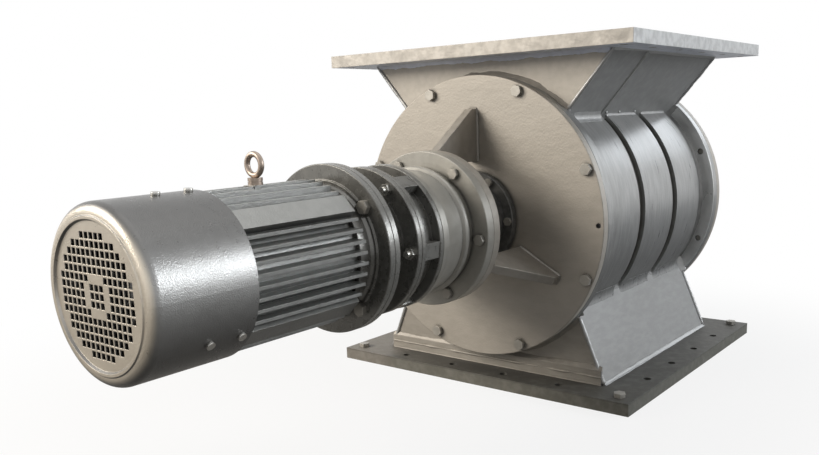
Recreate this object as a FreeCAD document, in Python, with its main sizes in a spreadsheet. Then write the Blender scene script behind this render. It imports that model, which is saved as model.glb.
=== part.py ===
"""Rotary airlock valve with a cycloidal gearmotor, in millimetres.

The origin is the centre of the outlet flange's bottom face, +Z is up and the rotor's axis
runs along Y. Turned pieces are drawn about their own Z axis, which points along -Y, from
the valve to the motor. A station is a distance along that axis from the valve's middle.
"""
import FreeCAD, Part
import math
import os
import re

import Sketcher

SIZES = {
    # Inlet and outlet flanges
    "valve_tall": 614,
    "flange_wide": 630,
    "flange_deep": 612,
    "flange_thick": 22,
    "flange_edge_wide": 27.5,
    "flange_edge_deep": 26,
    "flange_side_bolts": 6,
    "flange_hole": 7,
    # Chutes between the flanges and the barrel
    "chute_half_deep": 240,
    "panel_thick": 8,
    "inlet_margin": 68,
    "inlet_lean": 40.9,
    "outlet_margin": 74.5,
    "outlet_lean": 22.8,
    "inlet_foot": 160,
    "outlet_foot": 116,
    "outlet_port_half": 134,
    "strip_edge": 98,
    "strip_proud": 4,
    "sill_tall": 26,
    "sill_proud": 5,
    "sill_inset": 4,
    # Edges, fits and fasteners
    "rim_chamfer": 1,
    "press_gap": 0.02,
    "seat_gap": 0.05,
    "running_gap": 0.05,
    "face_gap": 0.3,
    "thread_gap": 0.1,
    "pass_gap": 0.6,
    "m12_head": 10.4,
    "m12_tall": 7.5,
    "m12_shank": 6,
    "m10_head": 9.2,
    "m10_tall": 6.4,
    "m10_shank": 5,
    "m8_head": 7.5,
    "m8_tall": 5.3,
    "m8_shank": 4,
    "m5_head": 5.6,
    "m5_tall": 4,
    "m5_shank": 2.5,
    # Barrel, its raised bands and end rings
    "barrel_bore": 212,
    "shell_radius": 226,
    "band_radius": 235,
    "band_outer_edge": 208,
    "band_inner_edge": 89,
    "middle_band_edge": 65,
    "end_radius": 255,
    "end_thick": 20,
    # End covers
    "cover_thick": 16,
    "cover_lip": 3,
    "cover_bolt_pitch": 242,
    "cover_bolts": 8,
    "cover_bolt_short": 8,
    "jack_hole": 4.5,
    "jack_holes": 2,
    "jack_pitch": 245,
    # Bearing housings
    "housing_flange": 87,
    "housing_flange_thick": 12,
    "housing_barrel": 69.5,
    "housing_long": 52,
    "housing_bolt_pitch": 78,
    "housing_bolts": 6,
    "stuffing_bore": 45,
    "packing_wide": 10,
    "packing_rings": 3,
    "bearing_outer": 55,
    "bearing_wide": 22,
    "cap_thick": 8,
    "cap_spigot": 2,
    "cap_screw_deep": 12,
    "cap_screw_pitch": 62,
    "cap_screws": 4,
    # Rotor
    "rotor_gap": 0.4,
    "rotor_side_gap": 0.6,
    "vanes": 8,
    "vane_thick": 10,
    "vane_bevel": 5,
    "vane_land": 3,
    "hub_radius": 62,
    "shaft_radius": 35,
    "journal_radius": 30,
    "stub_radius": 25,
    # Bracket that carries the gearmotor
    "bracket_reach": 117,
    "bracket_plate": 18,
    "bracket_radius": 130,
    "pilot_radius": 100,
    "gusset_thick": 16,
    "gusset_inner": 104,
    "gusset_root": 196,
    "gusset_nose": 15,
    "gussets": 3,
    # Coupling
    "coupling_radius": 42,
    "coupling_long": 64,
    "key_wide": 10,
    "key_tall": 8,
    "coupling_seam": 370,
    # Reducer output housing and output shaft
    "reducer_turn": -5.3,
    "mount_flange_thick": 18,
    "mount_bolt_pitch": 115,
    "mount_bolts": 6,
    "pilot_tall": 6,
    "housing_waist": 101,
    "housing_shoulder": 107,
    "bead_radius": 107,
    "bead_half": 5,
    "bead_station": 21,
    "output_housing_long": 106,
    "stage_ring": 115,
    "stage_ring_thick": 8.5,
    "carrier_room": 78,
    "carrier_room_deep": 20,
    "output_tip": 17.5,
    "output_seal_radius": 20,
    "output_journal": 22.5,
    "output_big_journal": 27.5,
    "output_bearing_outer": 42.5,
    "output_bearing_wide": 19,
    "output_big_outer": 50,
    "output_big_wide": 21,
    "carrier_radius": 74,
    "carrier_thick": 22,
    # Cycloidal stage
    "ring_pins": 30,
    "ring_pin_pitch": 84,
    "ring_pin_radius": 5,
    "eccentricity": 2,
    "mesh_gap": 0.35,
    "disc_thick": 13,
    "disc_space": 7,
    "disc_start": 9,
    "pin_housing_long": 52,
    "pin_housing_core": 99,
    "window_block": 25,
    "window_block_radius": 113,
    "carrier_pins": 8,
    "carrier_pin_pitch": 52,
    "carrier_pin_radius": 6.5,
    "carrier_roller_radius": 9.5,
    "sleeve_radius": 25,
    "arm_bearing_outer": 34,
    "stage_stud_pitch": 101,
    "stud_root": 24,
    "stud_tip": 6,
    "stage_studs": 6,
    # Input flange between the stage and the motor
    "input_flange_long": 72.5,
    "input_drum": 87,
    "input_plate": 11,
    "motor_flange_radius": 125,
    "motor_pilot": 90,
    "motor_pilot_deep": 6,
    "input_web": 12,
    "input_web_station": 22,
    # Motor
    "motor_flange_thick": 11,
    "motor_bolt_pitch": 105,
    "motor_bolts": 4,
    "motor_bolt_turn": 39,
    "shield_bell": 94,
    "shield_long": 34,
    "shield_bead": 103,
    "frame_long": 208,
    "frame_bore": 75,
    "frame_tube": 84,
    "fin_radius": 105,
    "fin_pitch": 15,
    "fin_thick": 4.5,
    "fins_per_side": 8,
    "pad_radius": 104.5,
    "pad_wide": 30,
    "motor_shaft_radius": 14,
    "motor_journal": 15,
    "motor_core_radius": 45,
    "air_gap": 0.5,
    "core_long": 120,
    "winding_long": 23.7,
    "core_station": 51,
    "motor_bearing_outer": 31,
    "motor_bearing_wide": 16,
    "rear_shield_long": 28,
    # Fan and cowl
    "cowl_overlap": 12,
    "cowl_radius": 108,
    "cowl_long": 147,
    "cowl_wall": 2,
    "cowl_round": 13,
    "grille_bead": 1.5,
    "cowl_screw_rows": 3,
    "cowl_screw_turn": -35,
    "cowl_screw_near": 17,
    "cowl_screw_far": 63,
    "cowl_lug_long": 62,
    "cowl_lug_wide": 14,
    "grille_radius": 87,
    "grille_sink": 3,
    "grille_pitch": 10,
    "grille_hole": 7.6,
    "fan_radius": 80,
    "fan_seat": 12,
    "fan_hub": 24,
    "fan_blades": 8,
    "fan_long": 58,
    "fan_station": 44,
    # Lifting eye and terminal box
    "eye_station": 100,
    "eye_boss": 0.5,
    "eye_collar": 10,
    "eye_ring": 14,
    "eye_wire": 4,
    "eye_shank": 16,
    "box_station": 56,
    "box_long": 108,
    "box_wide": 96,
    "box_tall": 46,
    "box_wall": 4,
    "lid_tall": 8,
    "gland_bore": 6,
    "gland_neck": 10,
    "gland_nut": 15,
    "gland_long": 34,
}

# Stations along the rotor axis and other sizes that follow from the driving ones
DERIVED = {
    "axis_height": "valve_tall / 2",
    "flange_face": "axis_height - flange_thick",
    "flange_pitch_wide": "(flange_wide - 2 * flange_edge_wide) / (flange_side_bolts - 1)",
    "flange_pitch_deep": "(flange_deep - 2 * flange_edge_deep) / (flange_side_bolts - 1)",
    "inlet_half_wide": "flange_wide / 2 - inlet_margin",
    "outlet_half_wide": "flange_wide / 2 - outlet_margin",
    "cover_seat": "chute_half_deep + end_thick",
    "cover_face": "cover_seat + cover_thick",
    "cap_seat": "cover_face + housing_long",
    "bearing_shoulder": "cap_seat - cap_spigot - bearing_wide",
    "plate_back": "cover_face + bracket_reach",
    "reducer_seat": "plate_back + bracket_plate",
    "coupling_start": "cap_seat + cap_thick + 3",
    "pin_housing_seat": "reducer_seat + output_housing_long + stage_ring_thick",
    "input_seat": "pin_housing_seat + pin_housing_long",
    "motor_seat": "input_seat + input_flange_long",
    "frame_seat": "motor_seat + shield_long",
    "frame_end": "frame_seat + frame_long",
    "cowl_seat": "frame_end - cowl_overlap",
    "box_seat": "fin_radius",
    "eye_seat": "fin_radius + eye_boss",
    "carrier_seat": "pin_housing_seat - carrier_room_deep",
}

doc = FreeCAD.newDocument("rotary_airlock_valve")
sheet = doc.addObject("Spreadsheet::Sheet", "Dims")
parts = []


def fill_sheet():
    """Write each driving size as a plain number beside its alias."""
    for row, (name, value) in enumerate(SIZES.items(), 1):
        sheet.set(f"A{row}", name)
        sheet.set(f"B{row}", str(value))
        sheet.setAlias(f"B{row}", name)
    doc.recompute()


def bound(text):
    """Turn an expression on size names into one on the sheet's cells."""
    def replace(match):
        word = match[0]
        if word in DERIVED:
            return f"({bound(DERIVED[word])})"
        return f"{sheet.Name}.{word}" if word in SIZES else word
    return re.sub(r"[a-z_]\w*", replace, str(text))


def number(text):
    """Value of an expression at the sheet's present sizes."""
    return float(sheet.evalExpression(bound(text)))


def origin_of(body, role):
    """Origin plane or axis of a body, by its role."""
    return next(item for item in body.Origin.OriginFeatures if item.Role == role)


def new_body(node):
    """Start a sub-part whose label names its file."""
    body = doc.addObject("PartDesign::Body", node)
    body.Label = node
    return body


def place(item, station="0", turn=0, flip=False):
    """Set a turned piece on the rotor axis, with its Z along -Y, or along +Y if flipped."""
    along = FreeCAD.Rotation(FreeCAD.Vector(1, 0, 0), 90)
    half_turn = FreeCAD.Rotation(FreeCAD.Vector(0, 0, 1), 180 if flip else 0)
    about = FreeCAD.Rotation(FreeCAD.Vector(0, 0, 1), turn)
    item.Placement = FreeCAD.Placement(FreeCAD.Vector(), half_turn.multiply(along).multiply(about))
    sign = "" if flip else "-"
    item.setExpression("Placement.Base.y", bound(f"{sign}({station})"))
    item.setExpression("Placement.Base.z", bound("axis_height"))
    parts.append(item)
    return item


def sketch_on(body, role="XY_Plane", level=None, turn=0):
    """Sketch on an origin plane, raised to a level or turned about the sketch's own Y axis."""
    sketch = body.newObject("Sketcher::SketchObject", f"{body.Name}_sketch")
    sketch.AttachmentSupport = (origin_of(body, role), [""])
    sketch.MapMode = "FlatFace"
    if turn:
        about = FreeCAD.Rotation(FreeCAD.Vector(0, 1, 0), turn)
        sketch.AttachmentOffset = FreeCAD.Placement(FreeCAD.Vector(), about)
    if level is not None:
        sketch.setExpression("AttachmentOffset.Base.z", bound(level))
    return sketch


def dimension(sketch, kind, size, *geometry):
    """Add a constraint whose value follows an expression."""
    index = sketch.addConstraint(Sketcher.Constraint(kind, *geometry, number(size)))
    sketch.setExpression(f"Constraints[{index}]", bound(size))


def fix_point(sketch, geometry, point, place_x, place_y):
    """Hold a point of the sketch at its distances from the sketch's origin."""
    dimension(sketch, "DistanceX", place_x, -1, 1, geometry, point)
    dimension(sketch, "DistanceY", place_y, -1, 1, geometry, point)


def draw_outline(sketch, corners):
    """Closed outline of straight lines through the corners."""
    first = sketch.GeometryCount
    points = [FreeCAD.Vector(number(x), number(y), 0) for x, y in corners]
    total = len(points)
    for index in range(total):
        sketch.addGeometry(Part.LineSegment(points[index], points[(index + 1) % total]), False)
    for index in range(total):
        following = first + (index + 1) % total
        sketch.addConstraint(Sketcher.Constraint("Coincident", first + index, 2, following, 1))
    for index, (place_x, place_y) in enumerate(corners):
        fix_point(sketch, first + index, 1, place_x, place_y)


def draw_rectangle(sketch, low_x, low_y, high_x, high_y):
    """Rectangle between two corners."""
    draw_outline(sketch, [(low_x, low_y), (high_x, low_y), (high_x, high_y), (low_x, high_y)])


def draw_circle(sketch, radius, centre_x="0", centre_y="0"):
    """Circle held by its centre and radius."""
    centre = FreeCAD.Vector(number(centre_x), number(centre_y), 0)
    circle = Part.Circle(centre, FreeCAD.Vector(0, 0, 1), number(radius))
    geometry = sketch.addGeometry(circle, False)
    fix_point(sketch, geometry, 3, centre_x, centre_y)
    dimension(sketch, "Radius", radius, geometry)


def pad(body, sketch, length, centred=False, backwards=False):
    """Extrude a sketch into the body."""
    feature = body.newObject("PartDesign::Pad", f"{body.Name}_pad")
    feature.Profile = sketch
    feature.setExpression("Length", bound(length))
    feature.Midplane = centred
    feature.Reversed = backwards
    return feature


def pocket(body, sketch, length, centred=False, backwards=False):
    """Cut a sketch out of the body, by default against the sketch's normal."""
    feature = body.newObject("PartDesign::Pocket", f"{body.Name}_pocket")
    feature.Profile = sketch
    feature.setExpression("Length", bound(length))
    feature.Midplane = centred
    feature.Reversed = backwards
    return feature


def around(body, features, total, angle="360"):
    """Repeat features about the body's Z axis and make the pattern the body's tip."""
    doc.recompute()
    pattern = body.newObject("PartDesign::PolarPattern", f"{body.Name}_around")
    pattern.Originals = features
    pattern.Axis = (origin_of(body, "Z_Axis"), [""])
    pattern.setExpression("Angle", bound(angle))
    pattern.setExpression("Occurrences", bound(total))
    body.Tip = pattern
    return pattern


def turn_about_axis(body, outline, kind="PartDesign::Revolution"):
    """Revolve an outline of (radius, height) corners about the body's Z axis."""
    sketch = sketch_on(body, "XZ_Plane")
    draw_outline(sketch, outline)
    feature = body.newObject(kind, f"{body.Name}_turned")
    feature.Profile = sketch
    feature.ReferenceAxis = (sketch, ["V_Axis"])
    feature.Angle = 360
    return feature


def turned(node, outline):
    """Turned sub-part from its outline of (radius, height) corners."""
    body = new_body(node)
    turn_about_axis(body, outline)
    return body


def polar(radius, angle):
    """Sketch coordinates of a point at a radius and an angle."""
    return f"({radius}) * cos({angle})", f"({radius}) * sin({angle})"


def drill_around(body, radius, pitch, total, top, deep, angle="0"):
    """Round holes on a pitch circle, from the top level down."""
    sketch = sketch_on(body, level=top)
    draw_circle(sketch, radius, *polar(pitch, angle))
    hole = pocket(body, sketch, deep)
    return around(body, [hole], total)


def drill_radially(body, radius, level, from_radius, deep, total, angle):
    """Round holes that point at the axis, at one level and evenly round the body."""
    sketch = sketch_on(body, "YZ_Plane", turn=angle)
    for axis, share in (("z", f"cos({angle})"), ("x", f"sin({angle})")):
        sketch.setExpression(f"AttachmentOffset.Base.{axis}", bound(f"({from_radius}) * {share}"))
    draw_circle(sketch, radius, "0", level)
    hole = pocket(body, sketch, deep)
    return around(body, [hole], total)


def fasteners_around(node, pitch, total, size, shank_long, angle="0"):
    """Hex screws of one size on a pitch circle, each its own solid, seated at the body's XY plane."""
    body = new_body(node)
    body.AllowCompound = True
    centre_x, centre_y = polar(pitch, angle)
    sketch = sketch_on(body)
    draw_outline(sketch, [(f"{centre_x} + {size}_head * cos({60 * side})",
                           f"{centre_y} + {size}_head * sin({60 * side})") for side in range(6)])
    top = pad(body, sketch, f"{size}_tall")
    sketch = sketch_on(body)
    draw_circle(sketch, f"{size}_shank", centre_x, centre_y)
    bottom = pad(body, sketch, shank_long, backwards=True)
    around(body, [top, bottom], total)
    return body


def bearing(node, inner, outer, wide):
    """Sealed ball bearing drawn as one ring with its recessed seals."""
    groove_in = f"{inner} + ({outer} - {inner}) * 0.22"
    groove_out = f"{outer} - ({outer} - {inner}) * 0.22"
    return turned(node, [
        (inner, "0"), (groove_in, "0"), (groove_in, "0.8"), (groove_out, "0.8"), (groove_out, "0"),
        (outer, "0"), (outer, wide), (groove_out, wide), (groove_out, f"{wide} - 0.8"),
        (groove_in, f"{wide} - 0.8"), (groove_in, wide), (inner, wide)])


def at_both_ends(node, front):
    """Group a front piece with its mirror image at the rear end, as separate solids."""
    mirrored = doc.addObject("Part::Mirroring", f"{node}_rear")
    mirrored.Source = front
    mirrored.Normal = FreeCAD.Vector(0, 0, 1)
    pair = doc.addObject("Part::Compound", node)
    pair.Label = node
    pair.Links = [front, mirrored]
    place(pair)


def raised(item, station):
    """Set a front piece at its station before it is grouped."""
    item.setExpression("Placement.Base.z", bound(station))
    return item


def rim(radius, low, high):
    """Corners of a round plate's edge between its two faces, chamfered at both."""
    return [(f"{radius} - rim_chamfer", low), (radius, f"{low} + rim_chamfer"),
            (radius, f"{high} - rim_chamfer"), (f"{radius} - rim_chamfer", high)]


def barrel_outline():
    """Outer outline of the barrel from one end ring to the other."""
    corners = rim("end_radius", "-cover_seat", "-chute_half_deep") + [("shell_radius", "-chute_half_deep")]
    bands = (("-band_outer_edge", "-band_inner_edge"), ("-middle_band_edge", "middle_band_edge"),
             ("band_inner_edge", "band_outer_edge"))
    for start, end in bands:
        corners += [("shell_radius", start), ("band_radius", start),
                    ("band_radius", end), ("shell_radius", end)]
    corners.append(("shell_radius", "chute_half_deep"))
    return corners + rim("end_radius", "chute_half_deep", "cover_seat")


def chute_half_width(port, height):
    """Half width of a chute's outside at a height from the rotor axis towards its flange."""
    return f"{port}_half_wide - (flange_face - ({height})) * tan({port}_lean)"


def chute_outline(port, low, high, inset="0"):
    """Tapered outline of a chute across the rotor axis, inset by a panel or not."""
    side = "" if port == "inlet" else "-"
    corners = []
    for height in (low, high):
        half = f"({chute_half_width(port, height)} - ({inset}) / cos({port}_lean))"
        ends = (f"-{half}", half) if height == low else (half, f"-{half}")
        corners += [(end, f"{side}({height})") for end in ends]
    return corners


def make_barrel():
    """Shell with three raised bands, end rings and the two ports cut through it."""
    corners = barrel_outline()
    body = turned("body_barrel", corners + [("barrel_bore", "cover_seat"),
                                            ("barrel_bore", "-cover_seat")])
    sketch = sketch_on(body)
    draw_outline(sketch, chute_outline("inlet", "inlet_foot - 20", "end_radius + 10", "panel_thick"))
    draw_rectangle(sketch, "-outlet_port_half", "-end_radius - 10", "outlet_port_half", "-hub_radius")
    pocket(body, sketch, "2 * (chute_half_deep - panel_thick)", centred=True)
    drill_around(body, "m12_shank + thread_gap", "cover_bolt_pitch", "cover_bolts", "cover_seat",
                 "2 * cover_seat", "180 / cover_bolts")
    drill_around(body, "jack_hole", "jack_pitch", "jack_holes", "cover_seat", "end_thick")
    place(body)


def make_chute(port):
    """Four leaning panels between the barrel and a flange, trimmed to the barrel."""
    body = new_body(f"{port}_chute")
    sketch = sketch_on(body)
    draw_outline(sketch, chute_outline(port, f"{port}_foot", "flange_face"))
    pad(body, sketch, "2 * chute_half_deep", centred=True)
    if port == "inlet":
        sketch = sketch_on(body, level="strip_edge")
        draw_outline(sketch, chute_outline(port, f"{port}_foot", "flange_face", "-strip_proud"))
        pad(body, sketch, "chute_half_deep - strip_edge")
    else:
        sketch = sketch_on(body, level="chute_half_deep")
        foot = "outlet_half_wide - sill_inset"
        draw_rectangle(sketch, f"-({foot})", "-flange_face", foot, "-flange_face + sill_tall")
        pad(body, sketch, "sill_proud")
    sketch = sketch_on(body)
    draw_outline(sketch, chute_outline(port, f"{port}_foot - 20", "flange_face + 1", "panel_thick"))
    pocket(body, sketch, "2 * (chute_half_deep - panel_thick)", centred=True)
    turn_about_axis(body, [("0", "-cover_seat")] + barrel_outline() + [("0", "cover_seat")],
                    "PartDesign::Groove")
    place(body)


def make_flange(port, level):
    """Rectangular flange plate with its duct opening and rows of bolt holes."""
    body = new_body(f"{port}_flange")
    sketch = sketch_on(body)
    draw_rectangle(sketch, "-flange_wide / 2", "-flange_deep / 2", "flange_wide / 2", "flange_deep / 2")
    duct = f"({port}_half_wide - panel_thick / cos({port}_lean))"
    deep = "(chute_half_deep - panel_thick)"
    draw_rectangle(sketch, f"-{duct}", f"-{deep}", duct, deep)
    last = round(number("flange_side_bolts")) - 1
    for column in range(last + 1):
        for row in range(last + 1):
            if column in (0, last) or row in (0, last):
                draw_circle(sketch, "flange_hole", f"flange_pitch_wide * {column - last / 2}",
                            f"flange_pitch_deep * {row - last / 2}")
    pad(body, sketch, "flange_thick")
    body.setExpression("Placement.Base.z", bound(level))
    parts.append(body)


def make_corner_bolts():
    """Hex bolts in the four corner holes of the outlet flange."""
    body = new_body("outlet_corner_bolts")
    body.AllowCompound = True
    heads = sketch_on(body)
    shanks = sketch_on(body)
    for side_x in (-1, 1):
        for side_y in (-1, 1):
            centre_x = f"{side_x} * (flange_wide / 2 - flange_edge_wide)"
            centre_y = f"{side_y} * (flange_deep / 2 - flange_edge_deep)"
            draw_outline(heads, [(f"{centre_x} + m12_head * cos({60 * side})",
                                  f"{centre_y} + m12_head * sin({60 * side})") for side in range(6)])
            draw_circle(shanks, "m12_shank", centre_x, centre_y)
    pad(body, heads, "m12_tall")
    pad(body, shanks, "flange_thick - 1", backwards=True)
    body.setExpression("Placement.Base.z", bound("flange_thick"))
    parts.append(body)


def make_cover(side, flip):
    """Round end cover with its stuffing bore and bolt holes, at the front with two jack holes."""
    neck = "(shaft_radius + 2)"
    body = turned(f"{side}_cover", [(neck, "0")] + rim("end_radius", "0", "cover_thick") + [
        ("stuffing_bore", "cover_thick"), ("stuffing_bore", "cover_lip"), (neck, "cover_lip")])
    drill_around(body, "m12_shank + pass_gap", "cover_bolt_pitch", "cover_bolts", "cover_thick",
                 "cover_thick", "180 / cover_bolts")
    if not flip:
        drill_around(body, "jack_hole", "jack_pitch", "jack_holes", "cover_thick", "cover_thick")
    drill_around(body, "m8_shank + thread_gap", "housing_bolt_pitch", "housing_bolts", "cover_thick",
                 "cover_thick - 2")
    place(body, "cover_seat", flip=flip)


def make_bearing_end(side, flip):
    """Bearing housing, packing, bearing and cap at one end of the rotor."""
    shoulder = "housing_long - cap_spigot - bearing_wide"
    edge = rim("housing_flange", "0", "housing_flange_thick")
    housing = turned(f"{side}_bearing_housing", [("stuffing_bore", "0")] + edge + [
        ("housing_barrel", "housing_flange_thick"), ("housing_barrel", "housing_long"),
        ("bearing_outer", "housing_long"), ("bearing_outer", shoulder), ("stuffing_bore", shoulder)])
    drill_around(housing, "m8_shank + pass_gap", "housing_bolt_pitch", "housing_bolts",
                 "housing_flange_thick", "housing_flange_thick")
    drill_around(housing, "m5_shank + thread_gap", "cap_screw_pitch", "cap_screws", "housing_long",
                 "cap_screw_deep + 2", "180 / cap_screws")
    place(housing, "cover_face", flip=flip)

    packing = new_body(f"{side}_shaft_packing")
    packing.AllowCompound = True
    for ring in range(round(number("packing_rings"))):
        sketch = sketch_on(packing, level=f"cover_lip + {ring} * (packing_wide + face_gap)")
        draw_circle(sketch, "stuffing_bore - seat_gap")
        draw_circle(sketch, "shaft_radius + running_gap")
        pad(packing, sketch, "packing_wide")
    place(packing, "cover_seat", flip=flip)

    ring = bearing(f"{side}_bearing", "journal_radius + running_gap", "bearing_outer - press_gap",
                   "bearing_wide")
    place(ring, "bearing_shoulder", flip=flip)

    hollow = "(bearing_outer - 8)"
    spigot = [(hollow, "-cap_spigot"), ("bearing_outer - seat_gap", "-cap_spigot"),
              ("bearing_outer - seat_gap", "0")] + rim("housing_barrel", "0", "cap_thick")
    if flip:
        inside = [("0", "cap_thick"), ("0", "2"), (hollow, "2")]
    else:
        bore = "stub_radius + 1"
        inside = [(bore, "cap_thick"), (bore, "0"), (hollow, "0")]
    cap = turned(f"{side}_bearing_cap", spigot + inside)
    drill_around(cap, "m5_shank + pass_gap", "cap_screw_pitch", "cap_screws", "cap_thick", "cap_thick",
                 "180 / cap_screws")
    place(cap, "cap_seat", flip=flip)


def make_valve_fasteners():
    """Bolts of the covers, bearing housings and caps, the same at both ends."""
    bolts = fasteners_around("cover_bolts_front", "cover_bolt_pitch", "cover_bolts", "m12",
                             "cover_thick + end_thick - cover_bolt_short", "180 / cover_bolts")
    at_both_ends("cover_bolts", raised(bolts, "cover_face"))
    bolts = fasteners_around("housing_bolts_front", "housing_bolt_pitch", "housing_bolts", "m8",
                             "housing_flange_thick + cover_thick - 4")
    at_both_ends("bearing_housing_bolts", raised(bolts, "cover_face + housing_flange_thick"))
    screws = fasteners_around("cap_screws_front", "cap_screw_pitch", "cap_screws", "m5",
                              "cap_thick + cap_screw_deep", "180 / cap_screws")
    at_both_ends("bearing_cap_screws", raised(screws, "cap_seat + cap_thick"))


def make_rotor():
    """Rotor shaft and the hub with its bevelled vanes."""
    shaft = turned("rotor_shaft", [
        ("0", "-cap_seat + cap_spigot"), ("journal_radius", "-cap_seat + cap_spigot"),
        ("journal_radius", "-bearing_shoulder"), ("shaft_radius", "-bearing_shoulder"),
        ("shaft_radius", "bearing_shoulder"), ("journal_radius", "bearing_shoulder"),
        ("journal_radius", "cap_seat - cap_spigot"), ("stub_radius", "cap_seat - cap_spigot"),
        ("stub_radius", "coupling_seam - 1"), ("0", "coupling_seam - 1")])
    sketch = sketch_on(shaft, level="coupling_seam - 1")
    draw_rectangle(sketch, "-key_wide / 2", "stub_radius - key_tall / 2", "key_wide / 2", "stub_radius + 1")
    pocket(shaft, sketch, "coupling_seam - 1 - coupling_start")
    place(shaft)

    vanes = new_body("rotor_vanes")
    half_long = "(cover_seat - rotor_side_gap)"
    tip = "(barrel_bore - rotor_gap)"
    sketch = sketch_on(vanes)
    draw_circle(sketch, "hub_radius")
    draw_circle(sketch, "shaft_radius + press_gap")
    pad(vanes, sketch, f"2 * {half_long}", centred=True)
    sketch = sketch_on(vanes)
    draw_outline(sketch, [
        ("hub_radius - 4", "-vane_thick / 2"), (f"{tip} - vane_bevel", "-vane_thick / 2"),
        (f"{tip} - 0.1", "vane_thick / 2 - vane_land"), (f"{tip} - 0.1", "vane_thick / 2"),
        ("hub_radius - 4", "vane_thick / 2")])
    blade = pad(vanes, sketch, f"2 * {half_long}", centred=True)
    around(vanes, [blade], "vanes")
    place(vanes, turn=180 / number("vanes"))


def make_bracket():
    """Ring plate and three gussets that hold the gearmotor off the front cover."""
    edge = rim("bracket_radius", "0", "bracket_plate")
    ring = turned("bracket_ring", [("pilot_radius", "0")] + edge + [("pilot_radius", "bracket_plate")])
    drill_around(ring, "m10_shank + thread_gap", "mount_bolt_pitch", "mount_bolts", "bracket_plate",
                 "bracket_plate")
    place(ring, "plate_back", turn=number("reducer_turn"))

    gussets = new_body("bracket_gussets")
    gussets.AllowCompound = True
    sketch = sketch_on(gussets, "XZ_Plane")
    draw_outline(sketch, [
        ("gusset_inner", "0"), ("gusset_root", "0"), ("gusset_root", "gusset_nose"),
        ("bracket_radius - 2", "bracket_reach"), ("gusset_inner", "bracket_reach")])
    plate = pad(gussets, sketch, "gusset_thick", centred=True)
    around(gussets, [plate], "gussets")
    place(gussets, "cover_face", turn=90)


def make_coupling():
    """Keyed sleeve that joins the rotor shaft to the reducer's output shaft."""
    seam = "(coupling_seam - coupling_start)"
    sleeve = turned("coupling_sleeve", [
        ("stub_radius + press_gap", "0"), ("coupling_radius", "0"), ("coupling_radius", "coupling_long"),
        ("output_tip + press_gap", "coupling_long"), ("output_tip + press_gap", seam),
        ("stub_radius + press_gap", seam)])
    sketch = sketch_on(sleeve, level=seam)
    draw_rectangle(sketch, "-key_wide / 2", "stub_radius - 3", "key_wide / 2", "stub_radius + key_tall / 2")
    pocket(sleeve, sketch, seam)
    sketch = sketch_on(sleeve, level="coupling_long")
    draw_rectangle(sketch, "-key_wide / 2", "output_tip - 3", "key_wide / 2", "output_tip + key_tall / 2")
    pocket(sleeve, sketch, f"coupling_long - {seam}")
    place(sleeve, "coupling_start")

    keys = new_body("coupling_keys")
    keys.AllowCompound = True
    for radius, start, long in (("stub_radius", "1", f"{seam} - 3"),
                                ("output_tip", f"{seam} + 3", f"coupling_long - {seam} - 4")):
        sketch = sketch_on(keys, level=start)
        draw_rectangle(sketch, "-key_wide / 2", f"{radius} - key_tall / 2",
                       "key_wide / 2", f"{radius} + key_tall / 2")
        pad(keys, sketch, long)
    place(keys, "coupling_start")


def make_output_housing():
    """Flanged output housing of the reducer with its bead, and its bolts and bearings."""
    front = "mount_flange_thick"
    ring_base = "output_housing_long"
    big_end = "(output_housing_long + stage_ring_thick - carrier_room_deep)"
    housing = turned("reducer_output_housing", [
        ("output_bearing_outer - 5", "-pilot_tall"), ("pilot_radius - seat_gap", "-pilot_tall"),
        ("pilot_radius - seat_gap", "0"), *rim("bracket_radius", "0", front),
        ("housing_waist", front), ("housing_waist", f"{front} + bead_station - bead_half - 4"),
        ("bead_radius - 1.5", f"{front} + bead_station - bead_half"),
        ("bead_radius", f"{front} + bead_station - 2"), ("bead_radius", f"{front} + bead_station + 2"),
        ("bead_radius - 1.5", f"{front} + bead_station + bead_half"),
        ("housing_waist", f"{front} + bead_station + bead_half + 3"),
        ("housing_waist + 1", f"{front} + bead_station + bead_half + 12"),
        ("housing_shoulder", f"{ring_base} - 16"), ("housing_shoulder", ring_base),
        *rim("stage_ring", ring_base, f"{ring_base} + stage_ring_thick"),
        ("carrier_room", f"{ring_base} + stage_ring_thick"), ("carrier_room", big_end),
        ("output_big_outer", big_end), ("output_big_outer", f"{big_end} - output_big_wide - 3"),
        ("output_bearing_outer", f"{big_end} - output_big_wide - 3"), ("output_bearing_outer", "3"),
        ("output_bearing_outer - 5", "3")])
    drill_around(housing, "m10_shank + pass_gap", "mount_bolt_pitch", "mount_bolts", front, front)
    drill_around(housing, "m10_shank + thread_gap", "stage_stud_pitch", "stage_studs",
                 f"{ring_base} + stage_ring_thick", "stud_root + 2")
    place(housing, "reducer_seat", turn=number("reducer_turn"))

    bolts = fasteners_around("reducer_mount_bolts", "mount_bolt_pitch", "mount_bolts", "m10",
                             "mount_flange_thick + bracket_plate + 3")
    place(bolts, "reducer_seat + mount_flange_thick", turn=number("reducer_turn"))

    ring = bearing("output_shaft_outer_bearing", "output_journal + running_gap",
                   "output_bearing_outer - press_gap", "output_bearing_wide")
    place(ring, "reducer_seat + 3")
    ring = bearing("output_shaft_inner_bearing", "output_big_journal + running_gap",
                   "output_big_outer - press_gap", "output_big_wide")
    place(ring, f"reducer_seat + {big_end} - output_big_wide - 3")
    seal = turned("output_shaft_seal", [
        ("output_seal_radius + running_gap", "0"), ("output_bearing_outer - 5 - seat_gap", "0"),
        ("output_bearing_outer - 5 - seat_gap", "8"), ("output_seal_radius + 6", "8"),
        ("output_seal_radius + 6", "3"), ("output_seal_radius + running_gap", "3")])
    place(seal, "reducer_seat - pilot_tall + 0.5")


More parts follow.
